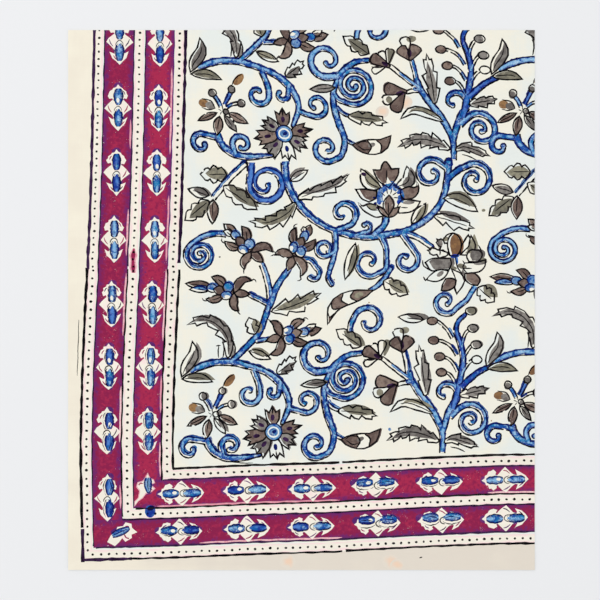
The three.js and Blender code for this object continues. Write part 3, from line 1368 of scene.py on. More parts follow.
# The ragged peony at the right of the block.
PEONY = (
    Blade(((206.5, 161), (191, 164)), 3.4, Form.TOOTHED, None, teeth=2, vein=False),
    Blade(((207, 163), (198, 172.5)), 3.4, Form.TOOTHED, None, teeth=2, vein=False),
    Wash((200.4, 169), 2.0, 3.8, Dye.TAUPE),
    Wash((204.5, 172.6), 2.4, 1.8, Dye.OLIVE),
    Blade(((215.5, 161.5), (220.5, 168), (221.5, 175.5)), 3.2, Form.LENS, Dye.OLIVE,
        (2.0, 1.0), vein=False),
    Blade(((216, 160.5), (224, 165.5), (223.5, 175)), 2.6, Form.LENS, Dye.OLIVE, vein=False),
    Cut((((222, 155.5), (220.3, 160), (223.5, 164.3), (229.5, 164)), ((229.5, 164), (232, 161.5),
        (231, 158), (228.5, 155.3)), ((228.5, 155.3), (222, 155.5))), Dye.TAUPE),
    Line(((229, 168), (231, 164.5), (231.5, 161)), 1.2),
    Cut((((219, 154.5), (227, 155), (234.5, 157)), ((234.5, 157), (233.5, 151), (229, 147.6),
        (220.5, 147)), ((220.5, 147), (217.5, 151), (219, 154.5)))),
    Wash((230.5, 155), 5.4, 1.9, Dye.TAUPE, 8),
    Line(((218, 150.3), (224, 150.4)), 1.0),
    Cut((((207.6, 160.3), (206, 167), (206.8, 173), (209.6, 176.9)), ((209.6, 176.9), (213.6, 175.5),
        (216.2, 170), (215.6, 164), (213, 159.6)), ((213, 159.6), (207.6, 160.3))), Dye.OCHRE,
        (0.9, -0.3)),
    Line(((202.5, 171.6), (205, 175), (209.6, 177.2)), 1.1),
    Cut((((189.3, 155), (195, 157.9), (208, 158)), ((208, 158), (209, 153.5), (207, 149.6)),
        ((207, 149.6), (200, 149.2), (193.5, 149), (189.3, 155))), Dye.TAUPE),
    Line(((187.4, 156.8), (188, 152.5), (192.5, 149.2)), 1.2),
    Blade(((206.5, 148.5), (196.5, 144), (190, 142)), 3.8, Form.LENS, None, vein=False),
    Wash((200.5, 146.3), 3.2, 1.6, Dye.TAUPE, 35),
    Line(((187.8, 144.3), (189.5, 141)), 1.1),
    Cut((((209, 150), (216, 146.5), (218.6, 140), (213, 131.3)), ((213, 131.3), (211.3, 136), (212, 142),
        (209, 150)))),
    Cut((((204.8, 142.8), (209, 143), (212.2, 141.5)), ((212.2, 141.5), (211, 136.5), (206.5, 134),
        (201.5, 133.8)), ((201.5, 133.8), (202.3, 138.5), (204.8, 142.8))), Dye.MAUVE),
    Cut((((219, 146.8), (226, 146.6), (230.3, 142), (228.7, 137.8)), ((228.7, 137.8), (223.5, 138.5),
        (219.3, 142), (219, 146.8))), Dye.MAUVE),
    Wash((214.5, 156), 3.4, 4.0, None),
    Wash((211.6, 159.8), 3.6, 1.6, Dye.DEEP, 5),
    Wash((212.6, 157), 1.2, 3.6, Dye.DEEP, 10),
    Line(((211.6, 160), (212.4, 155), (214, 150.4), (217, 146.4)), 1.0),
    Wash((217, 152), 3.8, 2.0, Dye.OLIVE, -20),
    Wash((210.6, 150.8), 2.6, 1.4, Dye.OLIVE, -10),
    Wash((217.8, 145.8), 1.1, 4.2, Dye.TAUPE, 8),
    Wash((232.6, 156.6), 3.0, 1.7, Dye.OLIVE, 8),
    Line(((197.6, 165.2), (200.4, 163.4), (200, 160.4)), 1.2),
    Line(((202, 164.8), (204, 163.4)), 1.3),
    Line(((217.5, 156.5), (219, 153.6)), 0.9),
)


# Faint stains in the cloth, darker blots and stray touches of the line block.
STAINS = (
    (233, 194, 1.6, 1.1, Dye.OLIVE), (35, 159, 0.7, 0.6, Dye.TAUPE),
    (121, 142, 0.6, 0.6, Dye.TAUPE), (147, 125, 0.6, 0.5, Dye.OCHRE), (157, 112, 0.7, 0.5, Dye.TAUPE),
    (239, 36, 0.6, 0.6, Dye.OCHRE), (162.6, 29.8, 1.1, 1.3, Dye.INDIGO), (186, -66.5, 1.4, 0.5, Dye.INK),
)
RUST_STAINS = (
    Stain((86, -69.5), 5.5), Stain((163, -69.5), 5.5), Stain((168, -72), 4.5),
    Stain((157, 268), 4.6), Stain((174, 275), 5.2), Stain((150, 262), 3.6),
)
STRAY_LINES = (
    Line(((43, 5.2), (51, 4.6), (60, 4.4)), 0.8),
    Line(((34.3, 83.5), (34, 88), (34.3, 92)), 1.0),
    Line(((32.4, 92.4), (35.5, 92.6)), 1.2),
    Line(((-71.8, 70), (-71.2, 90), (-70.6, 112)), 0.6),
)


class FlowerBlock:
    """The printed repeat: a flowering vine about 229 mm wide and 231 mm tall."""

    def print_on(self, press: Press) -> None:
        """Prints the whole block.

        Args:
            press: The press.
        """
        for tendril in TENDRILS:
            tendril.print_on(press)
        flowers = (*berry_plant(), *CUP_FLOWERS, *STAR_FLOWER, *daisy(), *BUD_FLOWERS, *LOTUS, *PEONY)
        stalks = [part for part in flowers if isinstance(part, Tendril)]
        heads = [part for part in flowers if not isinstance(part, Tendril)]
        for part in (*stalks, *LEAVES, *heads):
            part.print_on(press)


STAMPS = (
    Stamp(slip=(2.6, 0.8), blue_slip=(0.9, 1.1), seed=11),
    Stamp(x=9.3, y=230.4, lean=-0.04, rise=-0.052, drop=-0.015, bow=-2.5, slip=(0.3, 0.0),
        blue_slip=(0.2, 0.9), seed=12),
    Stamp(x=229.3, y=10.9, lean=-0.006, drop=-0.04, slip=(0.8, -0.6), blue_slip=(-0.4, 0.6), seed=13),
    Stamp(x=232.8, y=227.8, lean=-0.004, drop=-0.01, slip=(0.5, -0.5), blue_slip=(-0.4, 0.4), seed=14),
)


# How the side border leans: shift to the right at heights above the inner corner.
LEAN_HEIGHTS = (-80, -42, 0, 22, 72, 127, 148, 155, 185, 232, 340)
LEAN_SHIFTS = (1.3, 0.9, 0.1, 0.0, 1.2, 3.6, 4.9, 4.6, 6.1, 7.6, 10.0)

# How the lower border climbs: shift upwards at distances right of the inner corner.
CLIMB_PLACES = (-80, 0, 60, 124, 128, 190, 245, 280)
CLIMB_SHIFTS = (-2.2, 0.0, 2.6, 4.5, 4.9, 8.1, 10.3, 10.7)


class Side(Enum):
    """Which arm of the border a line belongs to."""

    LEFT = "left"
    BOTTOM = "bottom"


def along_border(side: Side, offset: float, stations: np.ndarray) -> np.ndarray:
    """Follows one line of the border.

    Args:
        side: The arm of the border.
        offset: Place of the line across the border at the inner corner.
        stations: Places along it.

    Returns:
        Points in the block's frame.
    """
    if side is Side.LEFT:
        return np.column_stack([offset + np.interp(stations, LEAN_HEIGHTS, LEAN_SHIFTS), stations])
    return np.column_stack([stations, offset + np.interp(stations, CLIMB_PLACES, CLIMB_SHIFTS)])


@dataclass(frozen=True)
class Rule:
    """A long black rule of the border."""

    side: Side
    offset: float
    start: float
    end: float
    width: float = 1.4
    dye: Dye = Dye.INK

    def print_on(self, press: Press) -> None:
        """Prints the rule with the uneven edge of a hand-printed line.

        Args:
            press: The press.
        """
        count = math.ceil(abs(self.end - self.start) / 3.2) + 1
        stations = np.linspace(self.start, self.end, count)
        path = along_border(self.side, self.offset, stations)
        halves = [self.width / 2 * press.draw.uniform(0.7, 1.25) for _ in stations]
        press.ink(ribbon(path, np.array(halves), cap=False), Layer.VINE, self.dye)


@dataclass(frozen=True)
class Strip:
    """The bare strip that a row of pin dots runs along."""

    side: Side
    offset: float
    start: float
    end: float
    width: float = 6.4

    def print_on(self, press: Press) -> None:
        """Marks the strip, which took a little red in the washing.

        Args:
            press: The press.
        """
        stations = np.linspace(self.start, self.end, 20)
        path = along_border(self.side, self.offset, stations)
        halves = np.full(len(path), self.width / 2)
        outline = ribbon(path, halves, cap=False)
        press.colour(outline, Dye.STRIP, Layer.BAND - 0.5, spine=path, halves=halves, rim=self.width / 2)


@dataclass(frozen=True)
class PinDots:
    """A row of small dots made by pins in the block."""

    side: Side
    offset: float
    start: float
    end: float
    pitch: float = 5.5
    radius: float = 0.95

    def print_on(self, press: Press) -> None:
        """Prints the row.

        Args:
            press: The press.
        """
        station = self.start
        while station < self.end:
            at = along_border(self.side, self.offset, np.array([station]))[0]
            nudge = (press.draw.uniform(-0.2, 0.2), press.draw.uniform(-0.2, 0.2))
            radius = self.radius * press.draw.uniform(0.86, 1.12)
            stretch = press.draw.uniform(0.95, 1.2)
            dot = ring((at[0] + nudge[0], at[1] + nudge[1]), radius * stretch, radius)
            press.ink(dot, Layer.DETAIL)
            station += self.pitch * press.draw.uniform(0.93, 1.07)


@dataclass(frozen=True)
class Band:
    """One crimson band of the border."""

    side: Side
    outer: float
    inner: float
    start: float
    end: float
    gaps: tuple[tuple[float, float], ...] = ()
    gap: float = 1.3

    def print_on(self, press: Press) -> None:
        """Prints the band, with the bare slits that it leaves beside its inner rule.

        Args:
            press: The press.
        """
        count = math.ceil((self.end - self.start) / 4.0) + 1
        stations = np.linspace(self.start, self.end, count)
        middle = along_border(self.side, (self.outer + self.inner) / 2, stations)
        half = abs(self.inner - self.outer) / 2
        halves = np.array([half * press.draw.uniform(0.985, 1.015) for _ in stations])
        outline = ribbon(middle, halves, cap=False)
        press.colour(outline, Dye.CRIMSON, Layer.BAND, spine=middle, halves=halves, rim=half)
        for first, last in self.gaps:
            slit = np.linspace(first, last, max(4, math.ceil((last - first) / 4.0)))
            edge = self.inner + math.copysign(self.gap, self.outer - self.inner) * 0.95
            path = along_border(self.side, edge, slit)
            thin = np.full(len(slit), self.gap / 2)
            thin[0] = thin[-1] = 0.1
            press.colour(ribbon(path, thin, cap=False), Dye.BLUSH, Layer.BAND + 0.5)


@dataclass(frozen=True)
class Ornament:
    """The cream figure that each band repeats: a winged lozenge around two blue spindles."""

    centre: Point
    turn: float
    blue_shift: Point = (0.0, 0.0)

    # One half of the reserved figure, from its front tip to its back tip.
    HALF_FIGURE = (
        (17.0, 0.0), (14.8, 2.4), (12.4, 4.8), (8.4, 6.6), (9.6, 4.8), (9.8, 3.1), (7.6, 2.9), (6.0, 3.7),
        (3.9, 5.8), (0.8, 9.3), (-1.8, 7.2), (-4.2, 4.6), (-5.4, 3.1), (-7.2, 4.2), (-6.6, 6.0),
        (-8.6, 7.1), (-10.2, 6.2), (-11.6, 5.8), (-12.8, 3.6), (-14.0, 3.2), (-14.8, 1.2), (-16.6, 0.0),
    )

    # Thin marks within it: one in a wing and the curls of its ends.
    WING_MARK = ((-1.2, 7.4), (1.4, 6.6), (3.9, 4.6))
    CURLS = (((14.2, 1.8), (12.8, 3.2), (10.8, 4.6)), ((-9.2, 5.2), (-11.0, 4.6), (-12.2, 3.2)))

    def place(self, points: Iterable[Point]) -> np.ndarray:
        """Moves points from the figure's own frame to the block's."""
        return turned(np.array(list(points), float), self.turn) + np.array(self.centre)

    def print_on(self, press: Press) -> None:
        """Prints the figure.

        Args:
            press: The press.
        """
        draw = press.draw
        halves = []
        for sign in (1, -1):
            reach = draw.uniform(0.92, 1.02)
            half = []
            for x, y in self.HALF_FIGURE:
                half.append((x + draw.uniform(-0.35, 0.35), sign * y * reach * draw.uniform(0.95, 1.05)))
            halves.append(half)
        figure = self.place([*halves[0], *halves[1][-2:0:-1]])[::-1]
        press.colour(figure, Dye.BLUSH, Layer.BAND + 1)
        press.colour(grown(figure, -0.5), Dye.STRIP, Layer.BAND + 1.5)
        for sign in (1, -1):
            for mark, chance in ((self.WING_MARK, 0.7), *((curl, 0.6) for curl in self.CURLS)):
                if draw.random() < chance:
                    self.print_mark(press, [(x, y * sign) for x, y in mark])
        shift = tuple(part + draw.uniform(-0.3, 0.3) for part in self.blue_shift)
        self.print_spindle(press, -13.8, -1.4, 2.9 * draw.uniform(0.94, 1.06), shift)
        self.print_spindle(press, 1.6, 15.0, 2.8 * draw.uniform(0.94, 1.06), shift)
        self.print_waist(press, shift)
        tail = self.place([(-15.4, 0.0)])[0] + np.array(shift)
        press.colour(ring((tail[0], tail[1]), 3.4, 3.0), Dye.VIOLET, Layer.BAND + 0.8)

    def print_mark(self, press: Press, points: list[Point]) -> None:
        """Prints one thin dark or crimson mark within the figure.

        Args:
            press: The press.
            points: Points of the mark in the figure's own frame.
        """
        path = smooth_path(self.place(points), 1.6)
        halves = 0.42 * np.sin(np.pi * np.linspace(0.15, 0.85, len(path)))
        dye = press.draw.choice((Dye.CRIMSON, Dye.CRIMSON, Dye.PLUM, Dye.VIOLET))
        press.colour(ribbon(path, halves, cap=False), dye, Layer.BAND + 1.8)

    def print_spindle(self, press: Press, start: float, end: float, half: float, shift: Point) -> None:
        """Prints one spindle: a ragged blue bar off register with its thin ink outline.

        Args:
            press: The press.
            start: Its back end.
            end: Its front end.
            half: Half of its width.
            shift: How far the blue lies from the outline, in the border's own directions.
        """
        share = np.linspace(0.0, 1.0, 11)
        path = self.place([(start + (end - start) * part, 0.0) for part in share])
        ragged = np.array([press.draw.uniform(0.88, 1.1) for _ in share])
        widths = half * ragged * np.sin(np.pi * (0.03 + 0.94 * share)) ** 0.42
        moved = path + np.array(shift)
        press.colour(ribbon(moved, widths + 1.6), Dye.VIOLET, Layer.BAND + 0.8)
        press.colour(ribbon(moved, widths + 0.6, cap=False), Dye.NAVY, Layer.BAND + 2)
        dye = press.draw.choice((Dye.INDIGO, Dye.INDIGO, Dye.DEEP))
        bar = ribbon(moved, widths, cap=False)
        press.colour(bar, dye, Layer.BAND + 3, spine=moved, halves=widths, rim=half)
        line = 0.25 + 0.25 * np.sin(2.2 * share * math.pi + press.draw.uniform(0.0, 6.0))
        outer = ribbon(path, widths + np.maximum(line, 0.02), cap=False)
        press.ink(outer, Layer.VINE)
        press.clear(ribbon(path, widths - 0.3, cap=False), Layer.VINE + 1)

    def print_waist(self, press: Press, shift: Point) -> None:
        """Prints the bare crescent in front of the second spindle, under an ink arch.

        Args:
            press: The press.
            shift: How far the blue lies from the outline.
        """
        light = smooth_path(self.place([(3.4, -1.9), (1.4, -1.3), (0.6, 0.0), (1.4, 1.3), (3.4, 1.9)]), 1.0)
        halves = 1.1 * np.sin(np.pi * np.linspace(0.15, 0.85, len(light)))
        press.colour(ribbon(light, halves), None, Layer.BAND + 4, shift)
        arch = self.place([(3.2, -2.8), (0.8, -2.2), (-0.8, 0.0), (0.8, 2.2), (3.2, 2.8)])
        press.stroke([tuple(point) for point in arch], press.draw.uniform(0.6, 0.95))
        eye = self.place([(-4.8, press.draw.uniform(-0.6, 0.6))])[0] + np.array(shift)
        dye = press.draw.choice((None, None, Dye.INDIGO))
        press.colour(ring((eye[0], eye[1]), 1.9, 1.3, self.turn), dye, Layer.BAND + 4)


# The lines of both arms of the border, from the outside in, at the inner corner.
LEFT_LINES = {"rule": -69.2, "dots": (-65.0, -34.6, -4.5), "frame": -0.1}
LOWER_LINES = {"rule": -66.5, "dots": (-62.6, -33.2, -4.3), "frame": 0.3}
LEFT_BANDS = ((-60.8, -38.7), (-30.0, -8.6))
LOWER_BANDS = ((-57.5, -37.0), (-29.0, -8.0))

# Middles of the figures: along the left arm by height, and along the lower arm by place with how far
# above the figure its blue lies. On the left arm the blue lies to the right, less so towards the top.
OUTER_LEFT_FIGURES = (321, 271.5, 222.8, 172.5, 123.8, 76.9, 28.5, -21.5)
INNER_LEFT_FIGURES = (319.5, 270.8, 222.4, 172.1, 123.8, 77.2, 28.5)
OUTER_LOWER_FIGURES = ((4.5, 0.8), (55.5, 0.6), (103.5, 0.4), (153, 3.0), (201, 2.4), (249, 0.0))
INNER_LOWER_FIGURES = ((6, 0.0), (54.8, 0.4), (104.2, 0.2), (151.5, 2.6), (200.2, 1.3), (249, 0.0))


class Border:
    """The red border along the left and lower sides."""

    # Bare slits beside the inner rule of each band, by place along its arm.
    LEFT_SLITS = (
        ((-30, -12), (20, 62), (100, 147), (160, 195), (240, 262)),
        ((-6, 20), (42, 70), (96, 150), (156, 205), (236, 300)),
    )
    LOWER_SLITS = (((20, 127),), ((-12, 125), (236, 276)))

    # The cut-off figures where the arms meet, with the hooks and the spindles within them.
    CORNER_FIGURES = (
        (
            (-19, -2.5), (-17.6, -6.2), (-14.4, -8.0), (-13.4, -10.4), (-16.4, -11.8), (-13.2, -14.6),
            (-15.6, -17.2), (-20.4, -18.6), (-22.4, -22), (-26, -24.4), (-28.8, -28.4), (-29.2, -24.4),
            (-26.2, -21.4), (-25.2, -16.6), (-27.6, -13.4), (-26.6, -9.8), (-22.6, -8.6), (-20.8, -6),
        ),
        (
            (-48.4, -54.6), (-43.6, -57), (-41, -54.4), (-38, -50.8), (-35.4, -53.6), (-31.6, -51.4),
            (-31.8, -48.6), (-28, -47.2), (-31.2, -44.6), (-31.6, -41.8), (-35.2, -40.8), (-37.2, -43.4),
            (-41, -44.2), (-42.4, -47.4), (-46, -50.2),
        ),
    )
    CORNER_HOOKS = (
        ((-33, -52), (-35, -51.4), (-36.4, -49.6)),
        ((-33, -43.4), (-35.4, -43), (-36, -44.4)),
        ((-15.4, -15.6), (-17.4, -15.4), (-18.4, -16.8)),
        ((-25.8, -12), (-24.6, -10.6), (-23, -11)),
    )
    CORNER_SPINDLES = (
        ((-18.6, -6.4), (-18.8, -11), (-18.4, -16.4)),
        ((-45.6, -50), (-40, -47.6), (-34, -45)),
    )

    def print_on(self, press: Press) -> None:
        """Prints the border from its bands to its dots.

        Args:
            press: The press.
        """
        for part in (*self.strips(), *self.bands(), *self.rules(), *self.dots(), *self.figures()):
            part.print_on(press)
        self.print_corner(press)
        self.print_blots(press)
        for x, y, length, width, dye in STAINS:
            Wash((x, y), length, width, dye, 20.0).print_on(press)
        for mark in (*RUST_STAINS, *STRAY_LINES):
            mark.print_on(press)

    def strips(self) -> list[Strip]:
        """Gives the bare strips of the dots on both arms.

        Returns:
            The strips from the outside in, left and lower in turn.
        """
        starts = ((-68, -67), (-37, -37), (-7, -7))
        rows = []
        for (low, left), left_row, lower_row in zip(starts, LEFT_LINES["dots"], LOWER_LINES["dots"]):
            rows.append(Strip(Side.LEFT, left_row, low, 340))
            rows.append(Strip(Side.BOTTOM, lower_row, left, 282))
        return rows

    def bands(self) -> list[Band]:
        """Gives the four arms of the two crimson bands.

        Returns:
            The left arms and then the lower ones.
        """
        (outer_left, inner_left), (outer_low, inner_low) = LEFT_BANDS, LOWER_BANDS
        return [
            Band(Side.LEFT, *outer_left, -58, 340, self.LEFT_SLITS[0]),
            Band(Side.LEFT, *inner_left, -29, 340, self.LEFT_SLITS[1]),
            Band(Side.BOTTOM, *reversed(outer_low), -60, 280, self.LOWER_SLITS[0]),
            Band(Side.BOTTOM, *reversed(inner_low), -30, 280, self.LOWER_SLITS[1]),
        ]

    def rules(self) -> list[Rule]:
        """Gives the black rules and the edges of the bands.

        Returns:
            The rules.
        """
        (outer_left, inner_left), (outer_low, inner_low) = LEFT_BANDS, LOWER_BANDS
        return [
            Rule(Side.LEFT, LEFT_LINES["rule"], -44, 151, 2.1),
            Rule(Side.LEFT, LEFT_LINES["rule"] + 0.4, -70, -45, 2.5, Dye.PLUM),
            Rule(Side.LEFT, LEFT_LINES["rule"] + 0.6, 150, 340, 2.3, Dye.PLUM),
            Rule(Side.BOTTOM, LOWER_LINES["rule"], -66.5, -31, 2.3, Dye.PLUM),
            Rule(Side.BOTTOM, LOWER_LINES["rule"], -32, 127, 1.6),
            Rule(Side.BOTTOM, LOWER_LINES["rule"] + 0.2, 129.5, 280, 1.8),
            Rule(Side.LEFT, LEFT_LINES["frame"], 0, 149.5, 1.9),
            Rule(Side.LEFT, LEFT_LINES["frame"], 154.5, 340, 2.4, Dye.PLUM),
            Rule(Side.BOTTOM, LOWER_LINES["frame"], -0.4, 125, 1.8),
            Rule(Side.BOTTOM, LOWER_LINES["frame"], 127, 280, 1.8),
            Rule(Side.LEFT, outer_left[0], -58, 340, 1.0, Dye.PLUM),
            Rule(Side.LEFT, outer_left[1], -36, 150, 1.2),
            Rule(Side.LEFT, outer_left[1], 152, 340, 1.1, Dye.PLUM),
            Rule(Side.LEFT, inner_left[0], -28, 340, 0.9, Dye.PLUM),
            Rule(Side.LEFT, inner_left[1], -8.5, 150, 1.3),
            Rule(Side.LEFT, inner_left[1], 152, 340, 0.8, Dye.VIOLET),
            Rule(Side.BOTTOM, outer_low[1], -38, 280, 1.3, Dye.PLUM),
            Rule(Side.BOTTOM, outer_low[0], -58, 280, 1.5, Dye.PLUM),
            Rule(Side.BOTTOM, inner_low[1], -7.5, 280, 1.3, Dye.PLUM),
            Rule(Side.BOTTOM, inner_low[0], -28, 280, 1.4),
        ]

    def dots(self) -> list[PinDots]:
        """Gives the three rows of pin dots on each arm.

        Returns:
            The rows, each left one in two pieces.
        """
        starts = ((-61, -60), (-32, -30), (-2, 0.5))
        rows = []
        for (low, left), left_row, lower_row in zip(starts, LEFT_LINES["dots"], LOWER_LINES["dots"]):
            rows.append(PinDots(Side.LEFT, left_row, low, 150, 5.95))
            rows.append(PinDots(Side.LEFT, left_row, 152, 330, 5.3, 1.0 if left_row > -10 else 0.85))
            rows.append(PinDots(Side.BOTTOM, lower_row, left, 272, 5.75))
        return rows

    def figures(self) -> list[Ornament]:
        """Gives the cream figures of both bands.

        Returns:
            The figures of the left arm and then of the lower one.
        """
        figures = []
        for (outer, inner), heights in zip(LEFT_BANDS, (OUTER_LEFT_FIGURES, INNER_LEFT_FIGURES)):
            for height in heights:
                at = along_border(Side.LEFT, (outer + inner) / 2, np.array([float(height)]))[0]
                beside = float(np.interp(height, (28, 220), (1.6, 0.1)))
                figures.append(Ornament((at[0], at[1]), -90, (beside, 0.0)))
        for (outer, inner), places in zip(LOWER_BANDS, (OUTER_LOWER_FIGURES, INNER_LOWER_FIGURES)):
            for place, above in places:
                at = along_border(Side.BOTTOM, (outer + inner) / 2, np.array([float(place)]))[0]
                figures.append(Ornament((at[0], at[1]), 2, (0.0, above)))
        return figures

    def print_corner(self, press: Press) -> None:
        """Prints the cut-off figures where the arms meet.

        Args:
            press: The press.
        """
        for corners in self.CORNER_FIGURES:
            figure = np.array(corners)[::-1]
            press.colour(figure, Dye.BLUSH, Layer.BAND + 1)
            press.colour(grown(figure, -0.7), Dye.STRIP, Layer.BAND + 1.5)
        for hook in self.CORNER_HOOKS:
            curl = smooth_path(hook, 1.0)
            press.colour(ribbon(curl, np.full(len(curl), 0.5)), Dye.CRIMSON, Layer.BAND + 1.8)
        for path in self.CORNER_SPINDLES:
            spine = smooth_path(path, 1.5)
            halves = 2.4 * np.sin(np.pi * np.linspace(0.1, 0.9, len(spine))) ** 0.5
            press.colour(ribbon(spine, halves + 2.0), Dye.VIOLET, Layer.BAND + 0.8)
            press.colour(ribbon(spine, halves + 0.7), Dye.NAVY, Layer.BAND + 2)
            bar = ribbon(spine, halves)
            press.colour(bar, Dye.INDIGO, Layer.BAND + 3, spine=spine, halves=halves, rim=2.4)
            press.stroke(path, 0.9)

    def print_blots(self, press: Press) -> None:
        """Prints the blots and smears that the printer left on the border.

        Args:
            press: The press.
        """
        press.colour(ring((-17.2, -31.8), 4.0, 4.8), Dye.DEEP, Layer.DETAIL)
        press.colour(ring((-16.6, -29.4), 2.8, 2.0, 20), Dye.NAVY, Layer.DETAIL + 1)
        smear = along_border(Side.LEFT, -34.6, np.linspace(147, 165, 5))
        spread = np.array([1.4, 2.9, 2.2, 3.0, 1.0])
        press.colour(ribbon(smear, spread), Dye.BLUSH, Layer.MARGIN)
        press.colour(ribbon(smear, spread * 0.55), Dye.CRIMSON, Layer.MARGIN + 1)


@dataclass(frozen=True)
class Ripple:
    """One soft raised patch of the sheet, in millimetres."""

    x: float
    y: float
    turn: float
    length: float
    width: float
    height: float

    def lift(self, x: np.ndarray, y: np.ndarray) -> np.ndarray:
        """Gives its height over points of the surface.

        Args:
            x: Places to the right.
            y: Places to the top.

        Returns:
            One height for each point.
        """
        angle = math.radians(self.turn)
        east, north = x - self.x, y - self.y
        along = east * math.cos(angle) + north * math.sin(angle)
        across = north * math.cos(angle) - east * math.sin(angle)
        return self.height * self.swell(along, self.length) * self.swell(across, self.width)

    @staticmethod
    def swell(distance: np.ndarray, span: float) -> np.ndarray:
        """Falls smoothly from 1 in the middle to 0 at half of the span."""
        share = np.minimum(np.abs(distance) / (span / 2), 1.0)
        return np.cos(share * math.pi / 2) ** 2


def lift_at(points: np.ndarray) -> np.ndarray:
    """Gives how far the cloth leaves the floor at points of its own frame, all in millimetres."""
    return sum(Ripple(*row).lift(points[:, 0], points[:, 1]) for row in RIPPLES)


@dataclass
class CutFace:
    """One face of the sheet, cut along the outlines printed on it."""

    points: np.ndarray
    triangles: np.ndarray
    dyes: np.ndarray
    depths: np.ndarray
    tones: np.ndarray

    def rim(self) -> list[int]:
        """Finds the points around the face.

        Returns:
            Their numbers, anticlockwise.
        """
        edges = np.vstack([self.triangles[:, [0, 1]], self.triangles[:, [1, 2]], self.triangles[:, [2, 0]]])
        known = {(int(a), int(b)) for a, b in edges}
        following = {a: b for a, b in known if (b, a) not in known}
        start = min(following)
        loop = [start]
        while following[loop[-1]] != start:
            loop.append(following[loop[-1]])
        return loop


@dataclass(frozen=True)
class Cutter:
    """Cuts a face of the sheet into triangles that follow the printed outlines."""

    sheet: Print

    def cut(self, shapes: list[Patch], rim_points: np.ndarray | None = None) -> CutFace:
        """Cuts the face along the outlines of some patches.

        Args:
            shapes: The patches.
            rim_points: Points that the edge of the sheet has to pass, or None.

        Returns:
            The cut face.
        """
        border = self.corners() if rim_points is None else rim_points
        inset = self.sheet.half - EDGE_STRIP
        coords = [border]
        edges = [self.chain(0, len(border), True)]
        total = len(border)
        for shape in shapes:
            for line, closed in ((shape.outline, True), (shape.spine, False)):
                if line is None:
                    continue
                coords.append(line if rim_points is None else np.clip(line, -inset, inset))
                edges.append(self.chain(total, len(line), closed))
                total += len(line)
        coords.append(self.grid())
        flat = np.vstack(coords)
        links = np.vstack(edges)
        joints = [Vector(point) for point in flat]
        result = delaunay_2d_cdt(joints, [tuple(map(int, link)) for link in links], [], 0, 1e-6, False)
        points = np.array([tuple(point) for point in result[0]])
        triangles = np.array([face for face in result[2] if len(face) == 3])
        return self.dress(points, triangles, shapes)

    def corners(self) -> np.ndarray:
        """Gives the sheet's four corners, anticlockwise."""
        x, y = self.sheet.half
        return np.array([(-x, -y), (x, -y), (x, y), (-x, y)])

    def grid(self) -> np.ndarray:
        """Gives evenly spread points that carry the ripples where nothing is printed.

        Returns:
            The points.
        """
        x, y = self.sheet.half
        columns = np.arange(-x + GRID_STEP / 2, x - GRID_STEP / 3, GRID_STEP)
        rows = np.arange(-y + GRID_STEP / 2, y - GRID_STEP / 3, GRID_STEP)
        mesh = np.array([(column, row) for row in rows for column in columns])
        return hand_wobble(mesh, GRID_WOBBLE)

    @staticmethod
    def chain(first: int, count: int, closed: bool) -> np.ndarray:
        """Links points in a row.

        Args:
            first: Number of the first point.
            count: How many there are.
            closed: Whether the last is linked to the first.

        Returns:
            Pairs of point numbers.
        """
        numbers = np.arange(first, first + count)
        pairs = np.column_stack([numbers[:-1], numbers[1:]])
        if closed:
            pairs = np.vstack([pairs, [numbers[-1], numbers[0]]])
        return pairs

    def dress(self, points: np.ndarray, triangles: np.ndarray, shapes: list[Patch]) -> CutFace:
        """Gives each triangle its dye, and each of its corners the dye's depth.

        Args:
            points: All points.
            triangles: Triangles over the sheet and perhaps beyond it.
            shapes: The patches that count.

        Returns:
            The face without what lies beyond the sheet or unused points.
        """
        middles = points[triangles].mean(axis=1)
        keep = (np.abs(middles) < self.sheet.half).all(axis=1)
        triangles, middles = triangles[keep], middles[keep]
        used, numbers = np.unique(triangles, return_inverse=True)
        triangles = numbers.reshape(-1, 3)
        points = points[used]
        shown, dyes = self.sheet.resolve(middles, shapes)
        dyes[dyes < 0] = DYES.index(Dye.FIELD)
        depths = np.full((len(triangles), 3), 0.5)
        tones = np.full(len(triangles), 0.5)
        for index in np.unique(shown[shown >= 0]):
            rows = np.flatnonzero(shown == index)
            shape = shapes[index]
            corners = points[triangles[rows]].reshape(-1, 2)
            depths[rows] = shape.depth(corners).reshape(-1, 3)
            tones[rows] = shape.tone
        return CutFace(points, triangles, dyes, depths, tones)


def srgb(red: float, green: float, blue: float) -> tuple[float, float, float, float]:
    """Turns screen levels from 0 to 255 into the linear colour that shaders use.

    Args:
        red: Red level.
        green: Green level.
        blue: Blue level.

    Returns:
        Linear red, green, blue and an alpha of 1.
    """

    def linear(level: float) -> float:
        """Turns one screen level into a linear one."""
        share = level / 255
        return share / 12.92 if share <= 0.04045 else ((share + 0.055) / 1.055) ** 2.4

    return linear(red), linear(green), linear(blue), 1.0


